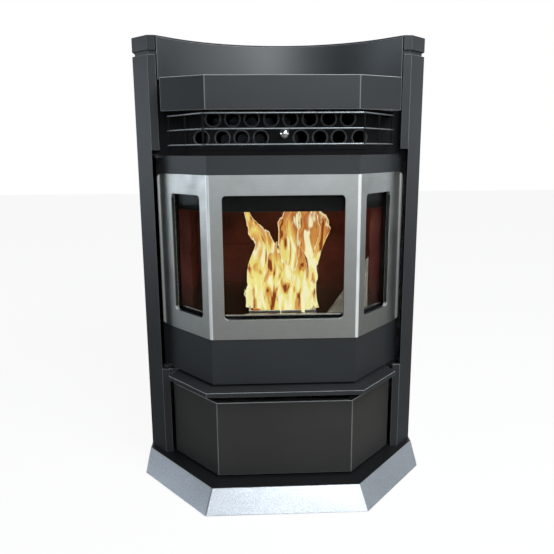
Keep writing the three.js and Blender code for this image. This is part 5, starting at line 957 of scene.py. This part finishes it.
def tube_places():
    upper = [((i + 0.5) * TUBE_PITCH, UPPER_TUBE_Z) for i in range(TUBES_ABOVE)]
    lower = [(x, LOWER_TUBE_Z) for x in LOWER_TUBES_X]
    return [(side * x, z) for x, z in upper + lower for side in (1, -1)]


class STOVE_OT_exchanger(bpy.types.Operator):
    """Round rims on the ends of the heat exchanger tubes"""

    bl_idname = "stove.exchanger"
    bl_label = "Tube rims"

    def execute(self, context):
        first = settle(added(
            bpy.ops.mesh.primitive_torus_add, major_radius=RIM_RADIUS, minor_radius=RIM_WIRE,
            major_segments=40, minor_segments=10, rotation=(math.pi / 2, 0, 0)))
        edit_where(first, "VERT", lambda place: place.y > RIM_BACK)
        bpy.ops.transform.translate(value=(0, RIM_TAIL, 0))
        leave_edit()
        rims = []
        for x, z in tube_places():
            only(first)
            bpy.ops.object.duplicate()
            rim = bpy.context.object
            rim.location = (x, TUBE_FACE_Y - RIM_BACK, z)
            rims.append(settle(rim))
        bpy.data.objects.remove(first)
        rims = smooth(joined("tube_rims", rims), 60)
        finish_piece(rims, finish("tube_rim"), "dark_steel", "stove")
        return {"FINISHED"}


class STOVE_OT_grille(bpy.types.Operator):
    """Outlet grille of bent round wires; the wires carry a painted highlight and the posts painted shade"""

    bl_idname = "stove.grille"
    bl_label = "Outlet grille"

    def execute(self, context):
        radius = context.scene.stove_sizes.wire_radius
        plan = bay_points(WIRE_HALF_FRONT, WIRE_FRONT_Y, WIRE_ANGLE, WIRE_WING)
        line = rounded_line(plan, WIRE_BEND, 8)
        wires = [sweep("wire", [(p.x, p.y, z) for p in line], depth=radius) for z in WIRE_HEIGHTS]
        low, high = WIRE_HEIGHTS[-1], WIRE_HEIGHTS[0]
        posts = []
        for wing in POST_WINGS:
            spot = bay_points(WIRE_HALF_FRONT, WIRE_FRONT_Y, WIRE_ANGLE, wing)[-1]
            for side in (1, -1):
                foot, head = (side * spot.x, spot.y, low), (side * spot.x, spot.y, high)
                posts.append(rod(foot, head, radius * POST_SHARE, 16))
        for z in (low, high):
            for side in (1, -1):
                posts.append(rod((side * spot.x, spot.y, z), (side * spot.x, CHEEK_FACE_Y, z), radius, 16))
        # The wires take the lighter finish, a painted highlight.
        grille = smooth(joined("grille_wires", wires), 50)
        finish_piece(grille, finish("grille_wire"), "black_coat", "stove", "air_grille")
        # The posts take the darker finish, painted shade.
        posts = smooth(joined("grille_posts", posts), 50)
        finish_piece(posts, finish("grille_post"), "black_coat", "stove")
        return {"FINISHED"}


class STOVE_OT_rod_knob(bpy.types.Operator):
    """Polished ball knob and the cleaning rod behind it"""

    bl_idname = "stove.rod_knob"
    bl_label = "Rod and knob"

    def execute(self, context):
        low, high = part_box("rod_knob")
        centre = Vector((0, low.y + (high.z - low.z) / 2, (low.z + high.z) / 2))
        ball = settle(added(
            bpy.ops.mesh.primitive_uv_sphere_add, segments=48, ring_count=24,
            radius=(high.z - low.z) / 2 - KNOB_CLEARANCE, location=centre, rotation=(math.pi / 2, 0, 0)))
        edit_where(ball, "VERT", lambda place: True)
        bpy.ops.mesh.bisect(plane_co=(0, high.y, 0), plane_no=(0, 1, 0), use_fill=True, clear_outer=True)
        leave_edit()
        ball = smooth(name_piece("ball_knob"), 40)
        finish_piece(ball, finish("bright_steel"), "bright_steel", "cleaning_rod", "rod_knob")
        start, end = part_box("cleaning_rod")
        middle = (start.z + end.z) / 2
        bar = rod((0, start.y, middle), (0, end.y, middle), (end.z - start.z) / 2 - ROD_CLEARANCE, 32)
        bar = smooth(name_piece("rod_bar"), 40)
        finish_piece(bar, finish("bright_steel"), "bright_steel", "cleaning_rod", "cleaning_rod")
        return {"FINISHED"}


class STOVE_OT_firebox(bpy.types.Operator):
    """Burn pot, air-wash plate and lining with softened edges, loose pellets, ash and the sill's edge"""

    bl_idname = "stove.firebox"
    bl_label = "Firebox"

    def execute(self, context):
        sizes = context.scene.stove_sizes
        dressed("burn_pot", "pot", SHEET_EDGE, "brushed_steel", finish("brushed_steel"))
        dressed("air_wash_plate", "air_wash_sheet", SHEET_EDGE, "dark_steel", finish("dark_steel"))
        for side in ("rear", "left", "right"):
            dressed(f"brick_{side}", f"fire_board_{side}", BRICK_EDGE, "firebrick", finish("firebrick"))
        low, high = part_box("pellet_bed")
        chance = random.Random(7)
        first = added(
            bpy.ops.mesh.primitive_cylinder_add, vertices=8, radius=PELLET_RADIUS, depth=PELLET_LENGTH,
            location=(0, 0, 0))
        edit_where(first, "EDGE", lambda place: True)
        bpy.ops.mesh.bevel(offset=PELLET_EDGE, segments=1, affect="EDGES")
        leave_edit()
        pellets = []
        for _ in range(sizes.pellets):
            only(first)
            bpy.ops.object.duplicate()
            pellet = bpy.context.object
            x = chance.uniform(low.x + PELLET_MARGIN, high.x - PELLET_MARGIN)
            y = chance.uniform(low.y + PELLET_MARGIN, high.y - PELLET_MARGIN)
            heap = 0.5 + 0.5 * math.cos(math.pi * min(1, abs(2 * x / (high.x - low.x))))
            lift = chance.uniform(0, PELLET_LAYER) + PELLET_MOUND * heap
            pellet.location = (x, y, high.z + PELLET_LIFT + lift)
            pellet.rotation_euler = (
                chance.uniform(1.1, 1.9), chance.uniform(-0.3, 0.3), chance.uniform(0, math.tau))
            pellets.append(settle(pellet))
        bpy.data.objects.remove(first)
        heap = smooth(joined("loose_pellets", pellets), 40)
        finish_piece(heap, finish("embers"), "embers", "stove")
        self.ash_heap()
        self.sill_edge()
        return {"FINISHED"}

    def sill_edge(self):
        """Bare steel strip along the top of the sill behind the glass."""
        tuck = math.tan(DOOR_ANGLE / 2)
        plan = bay_points(
            DOOR_HALF_FRONT - SILL_SET_BACK * tuck, DOOR_FACE_Y + SILL_SET_BACK, DOOR_ANGLE, SILL_WING)
        line = rounded_line(plan, SILL_BEND, 3)
        middle = SILL_TOP + SILL_EDGE_HEIGHT / 2
        strip = sweep("sill_edge", [(p.x, p.y, middle) for p in line], height=SILL_EDGE_HEIGHT)
        apply_modifier(strip, "SOLIDIFY", thickness=SILL_EDGE_THICK, offset=0.0, use_even_offset=True)
        outward(strip)
        finish_piece(flat_faces(smooth(strip, 30)), finish("sill_edge"), "bright_steel", "stove")

    def ash_heap(self):
        """Ash and grit that lies against the right side board."""
        pot_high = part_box("burn_pot")[1]
        board_low, board_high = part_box("brick_right")
        floor = board_low.z + ASH_FLOOR_GAP
        near, far = pot_high.x + ASH_POT_GAP, board_low.x - ASH_BOARD_GAP
        heap = added(
            bpy.ops.mesh.primitive_grid_add, x_subdivisions=24, y_subdivisions=24, size=2, location=(0, 0, 0))
        chance = random.Random(3)
        for vertex in heap.data.vertices:
            across, along = (vertex.co.x + 1) / 2, (vertex.co.y + 1) / 2
            x = near + across * (far - near)
            y = board_low.y + ASH_FRONT_GAP + along * (board_high.y - board_low.y - ASH_SHORTER)
            back = y - ASH_NEAR_Y
            rise = ASH_NEAR_RISE + ASH_SLOPE * (x - ASH_NEAR_X - ASH_SHEAR * back) - ASH_FALL * back
            vertex.co = (x, y, floor + max(ASH_LEAST, rise) + chance.uniform(-ASH_GRIT, ASH_GRIT))
        edit_where(heap, "FACE", lambda place: True)
        bpy.ops.mesh.extrude_region_move(TRANSFORM_OT_translate={"value": (0, 0, -0.002)})
        leave_edit()
        for vertex in heap.data.vertices:
            if vertex.select:
                vertex.co.z = floor
        outward(heap)
        heap = smooth(name_piece("ash_heap"), 60)
        finish_piece(heap, finish("ash"), "embers", "stove")


# Each large flame: points (x, y, z, half width) from root to tip, in metres in the stove's own frame.
LARGE_FLAMES = (
    ((-0.036, -0.118, 0.378, 0.030), (-0.044, -0.120, 0.430, 0.032), (-0.034, -0.122, 0.480, 0.026),
     (-0.034, -0.120, 0.515, 0.018), (-0.048, -0.116, 0.543, 0.018), (-0.066, -0.112, 0.568, 0.010),
     (-0.080, -0.108, 0.604, 0.010)),
    ((-0.052, -0.106, 0.376, 0.020), (-0.062, -0.108, 0.415, 0.016), (-0.048, -0.110, 0.450, 0.012),
     (-0.056, -0.112, 0.490, 0.005)),
    ((-0.006, -0.135, 0.376, 0.030), (-0.014, -0.137, 0.420, 0.028), (-0.004, -0.138, 0.460, 0.020),
     (-0.016, -0.136, 0.495, 0.012), (-0.010, -0.134, 0.525, 0.004)),
    ((0.016, -0.110, 0.376, 0.026), (0.010, -0.112, 0.430, 0.024), (0.018, -0.112, 0.480, 0.020),
     (0.018, -0.110, 0.530, 0.021), (0.016, -0.108, 0.569, 0.017), (0.034, -0.106, 0.604, 0.013)),
    ((0.050, -0.118, 0.376, 0.026), (0.052, -0.118, 0.430, 0.021), (0.056, -0.118, 0.480, 0.018),
     (0.064, -0.117, 0.520, 0.022), (0.069, -0.116, 0.555, 0.028), (0.062, -0.112, 0.604, 0.027)),
    ((0.046, -0.096, 0.380, 0.020), (0.050, -0.094, 0.450, 0.020), (0.066, -0.092, 0.520, 0.024),
     (0.076, -0.090, 0.560, 0.022), (0.076, -0.088, 0.604, 0.018)),
    ((0.034, -0.142, 0.378, 0.024), (0.038, -0.144, 0.425, 0.020), (0.046, -0.142, 0.470, 0.014),
     (0.040, -0.140, 0.510, 0.005)),
)


def along_line(points, v):
    """A smooth place along a list of points, v from 0 to 1."""
    place = v * (len(points) - 1)
    i = min(int(place), len(points) - 2)
    t = place - i
    before, first = points[max(i - 1, 0)], points[i]
    second, after = points[i + 1], points[min(i + 2, len(points) - 1)]
    return [0.5 * (2 * b + (c - a) * t + (2 * a - 5 * b + 4 * c - d) * t ** 2
                   + (3 * b - a - 3 * c + d) * t ** 3)
            for a, b, c, d in zip(before, first, second, after)]


def tongue(points, turn, cup):
    """One flame: a sheet along a line of points, turned about the upright and cupped forwards."""
    sheet = added(
        bpy.ops.mesh.primitive_grid_add, x_subdivisions=6, y_subdivisions=22, size=2,
        location=(0, 0, 0), calc_uvs=True)
    for vertex in sheet.data.vertices:
        across, v = vertex.co.x, (vertex.co.y + 1) / 2
        x, y, z, half = along_line(points, v)
        side = across * half * FLAME_REACH
        bulge = cup * half * (1 - across ** 2)
        vertex.co = (x + side * math.cos(turn), y + side * math.sin(turn) - bulge, z)
    return sheet


class STOVE_OT_flames(bpy.types.Operator):
    """Flames over the burn pot"""

    bl_idname = "stove.flames"
    bl_label = "Flames"

    def execute(self, context):
        sizes = context.scene.stove_sizes
        chance = random.Random(21)
        sheets = []
        for number, points in enumerate(LARGE_FLAMES):
            for turn in LARGE_FLAME_TURNS:
                lean = turn + chance.uniform(-LARGE_FLAME_SPREAD, LARGE_FLAME_SPREAD)
                sheets.append(tongue(points, lean * (1 if number % 2 else -1), LARGE_FLAME_CUP))
        for _ in range(sizes.flame_tongues):
            x, y = chance.uniform(*SMALL_FLAME_X), chance.uniform(*SMALL_FLAME_Y)
            height, half = chance.uniform(*SMALL_FLAME_HEIGHT), chance.uniform(*SMALL_FLAME_HALF)
            sway = chance.uniform(-SMALL_FLAME_SWAY, SMALL_FLAME_SWAY)
            rows = ((0.0, 0.0, half), (0.3, 0.4, half), (1.0, 0.75, half * 0.6), (0.7, 1.0, SMALL_FLAME_TIP))
            points = [(x + sway * lean, y, SMALL_FLAME_ROOT_Z + height * share, width)
                      for lean, share, width in rows]
            turn = chance.uniform(-SMALL_FLAME_TURN, SMALL_FLAME_TURN)
            sheets.append(tongue(points, turn, SMALL_FLAME_CUP))
        fire = joined("flames", sheets)
        apply_modifier(fire, "SOLIDIFY", thickness=FLAME_SHEET, offset=0.0)
        smooth(fire, 60)
        finish_piece(fire, finish("flame"), "embers", "stove")
        return {"FINISHED"}


class STOVE_OT_back_and_controls(bpy.types.Operator):
    """Hopper lid, control panel, mains socket and buttons"""

    bl_idname = "stove.back_and_controls"
    bl_label = "Back and controls"

    def execute(self, context):
        edge = context.scene.stove_sizes.edge_round
        dressed("hopper_lid", "lid_sheet", edge / 2, "black_coat", finish("black_coat"))
        dressed("control_panel", "panel_frame", edge / 2, "black_plastic", finish("black_plastic"))
        dressed("power_inlet", "mains_inlet", edge / 3, "black_plastic", finish("black_plastic"))
        for name, slot in (("power", "red_plastic"), ("down", "black_plastic"), ("up", "black_plastic")):
            low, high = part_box(f"button_{name}")
            middle = (low + high) / 2
            radius = (high.z - low.z) / 2
            cap = rod((low.x, middle.y, middle.z), (high.x, middle.y, middle.z), radius, 40)
            apply_modifier(cap, "BEVEL", width=CAP_EDGE, segments=3, limit_method="ANGLE", angle_limit=1.0)
            cap = smooth(name_piece(f"cap_{name}"), 40)
            finish_piece(cap, finish(slot), slot, f"button_{name}", f"button_{name}")
        return {"FINISHED"}


class STOVE_OT_stage(bpy.types.Operator):
    """Pale floor, soft studio lamps, plain surroundings and the camera"""

    bl_idname = "stove.stage"
    bl_label = "Stage"

    def execute(self, context):
        studio = context.scene.stove_studio
        bpy.ops.object.select_all(action="DESELECT")
        bpy.ops.mesh.primitive_plane_add(size=FLOOR_SIZE, location=FLOOR_CENTRE)
        settle(bpy.context.object)
        floor = name_piece("studio_floor")
        floor.data.materials.append(floor_paint("Studio Floor"))
        for name, place, size, setting, colour in LAMPS:
            self.lamp(name, place, size, getattr(studio, setting), colour)
        bpy.ops.object.light_add(type="POINT", location=FIRE_PLACE)
        fire = bpy.context.object
        fire.name = "Fire Light"
        fire.data.energy = studio.fire
        fire.data.color = FIRE_COLOUR
        fire.data.shadow_soft_size = FIRE_SOFTNESS
        fire.visible_camera = False
        fire.visible_glossy = False
        fire.visible_transmission = False
        self.surroundings(context.scene)
        self.camera(context.scene)
        context.scene.view_settings.view_transform = "Standard"
        return {"FINISHED"}

    def lamp(self, name, place, size, power, colour):
        bpy.ops.object.light_add(type="AREA", location=place)
        lamp = bpy.context.object
        lamp.name = name
        lamp.data.shape = "SQUARE"
        lamp.data.size = size
        lamp.data.energy = power
        lamp.data.color = colour
        lamp.rotation_euler = (Vector(LAMP_TARGET) - Vector(place)).to_track_quat("-Z", "Y").to_euler()

    def surroundings(self, scene):
        """White where the camera looks. Elsewhere a plain room, brighter in front and low at both sides."""
        world = bpy.data.worlds.new("Studio")
        scene.world = world
        world.use_nodes = True
        tree = world.node_tree
        tree.nodes.clear()
        heading = put(tree, "ShaderNodeTexCoord").outputs["Generated"]
        parts = put(tree, "ShaderNodeSeparateXYZ", {0: heading}).outputs
        room = remap(tree, parts["X"], (-0.6, 0.7), (0.06, 0.36))
        ahead = remap(tree, parts["Y"], (-0.72, -0.94), (0.0, 0.54))
        left = remap(tree, parts["X"], (-0.86, -0.955), (0.0, 4.6))
        right = remap(tree, parts["X"], (0.84, 0.95), (0.0, 1.2))
        low = remap(tree, parts["Z"], (0.16, 0.04))
        left = maths(tree, "MULTIPLY", maths(tree, "ADD", left, right), low)
        high = remap(tree, parts["Z"], (0.25, 0.5), (1.0, 0.25))
        room = maths(tree, "MULTIPLY", maths(tree, "ADD", room, maths(tree, "ADD", ahead, left)), high)
        room = put(tree, "ShaderNodeCombineXYZ", {0: room, 1: room, 2: room}).outputs[0]
        room = blend(tree, 1.0, room, (0.88, 1.0, 1.12), "MULTIPLY")
        behind = remap(tree, parts["Y"], (0.25, 0.45))
        path = put(tree, "ShaderNodeLightPath").outputs
        mirror = maths(tree, "MAXIMUM", path["Is Glossy Ray"], path["Is Transmission Ray"])
        white = maths(tree, "MULTIPLY", mirror, behind)
        white = maths(tree, "MAXIMUM", path["Is Camera Ray"], white)
        colour = blend(tree, white, room, (1, 1, 1))
        back = put(tree, "ShaderNodeBackground", {0: colour, 1: 1.0}).outputs[0]
        put(tree, "ShaderNodeOutputWorld", {0: back})

    def camera(self, scene):
        yaw, pitch, roll = CAMERA_YAW, CAMERA_PITCH, CAMERA_ROLL
        ahead = Vector((math.sin(yaw) * math.cos(pitch), math.cos(yaw) * math.cos(pitch), -math.sin(pitch)))
        right = Vector((math.cos(yaw), -math.sin(yaw), 0))
        down = ahead.cross(right)
        across = right * math.cos(roll) + down * math.sin(roll)
        below = down * math.cos(roll) - right * math.sin(roll)
        turn = Matrix((across, -below, -ahead)).transposed()
        bpy.ops.object.camera_add(location=CAMERA_PLACE)
        camera = bpy.context.object
        camera.name = "Front Camera"
        camera.rotation_euler = turn.to_euler()
        camera.data.sensor_width = CAMERA_SENSOR
        camera.data.lens = CAMERA_LENS
        scene.camera = camera


class STOVE_PT_panel(bpy.types.Panel):
    """Lists the stove's pieces and settings"""

    bl_idname = "STOVE_PT_panel"
    bl_label = "Pellet Stove"
    bl_space_type = "VIEW_3D"
    bl_region_type = "UI"
    bl_category = "Pellet Stove"

    def draw(self, context):
        for group in (context.scene.stove_finish, context.scene.stove_sizes, context.scene.stove_studio):
            box = self.layout.box()
            for name in group.bl_rna.properties.keys():
                if name not in {"rna_type", "name"}:
                    box.prop(group, name)
        for operator in OPERATORS:
            self.layout.operator(operator.bl_idname)


SETTINGS = (("stove_finish", StoveFinish), ("stove_sizes", StoveSizes), ("stove_studio", StoveStudio))
OPERATORS = (
    STOVE_OT_finishes, STOVE_OT_stage, STOVE_OT_casing, STOVE_OT_door, STOVE_OT_door_trim, STOVE_OT_exchanger,
    STOVE_OT_grille, STOVE_OT_rod_knob, STOVE_OT_firebox, STOVE_OT_flames, STOVE_OT_back_and_controls,
)


def register():
    for name, group in SETTINGS:
        bpy.utils.register_class(group)
        setattr(bpy.types.Scene, name, bpy.props.PointerProperty(type=group))
    for operator in OPERATORS:
        bpy.utils.register_class(operator)
    bpy.utils.register_class(STOVE_PT_panel)


def unregister():
    bpy.utils.unregister_class(STOVE_PT_panel)
    for operator in reversed(OPERATORS):
        bpy.utils.unregister_class(operator)
    for name, group in reversed(SETTINGS):
        delattr(bpy.types.Scene, name)
        bpy.utils.unregister_class(group)


def main():
    register()
    bpy.ops.stove.finishes()
    bpy.ops.stove.stage()
    bpy.ops.stove.casing()
    bpy.ops.stove.door()
    bpy.ops.stove.door_trim()
    bpy.ops.stove.exchanger()
    bpy.ops.stove.grille()
    bpy.ops.stove.rod_knob()
    bpy.ops.stove.firebox()
    bpy.ops.stove.flames()
    bpy.ops.stove.back_and_controls()


if __name__ == "__main__":
    main()
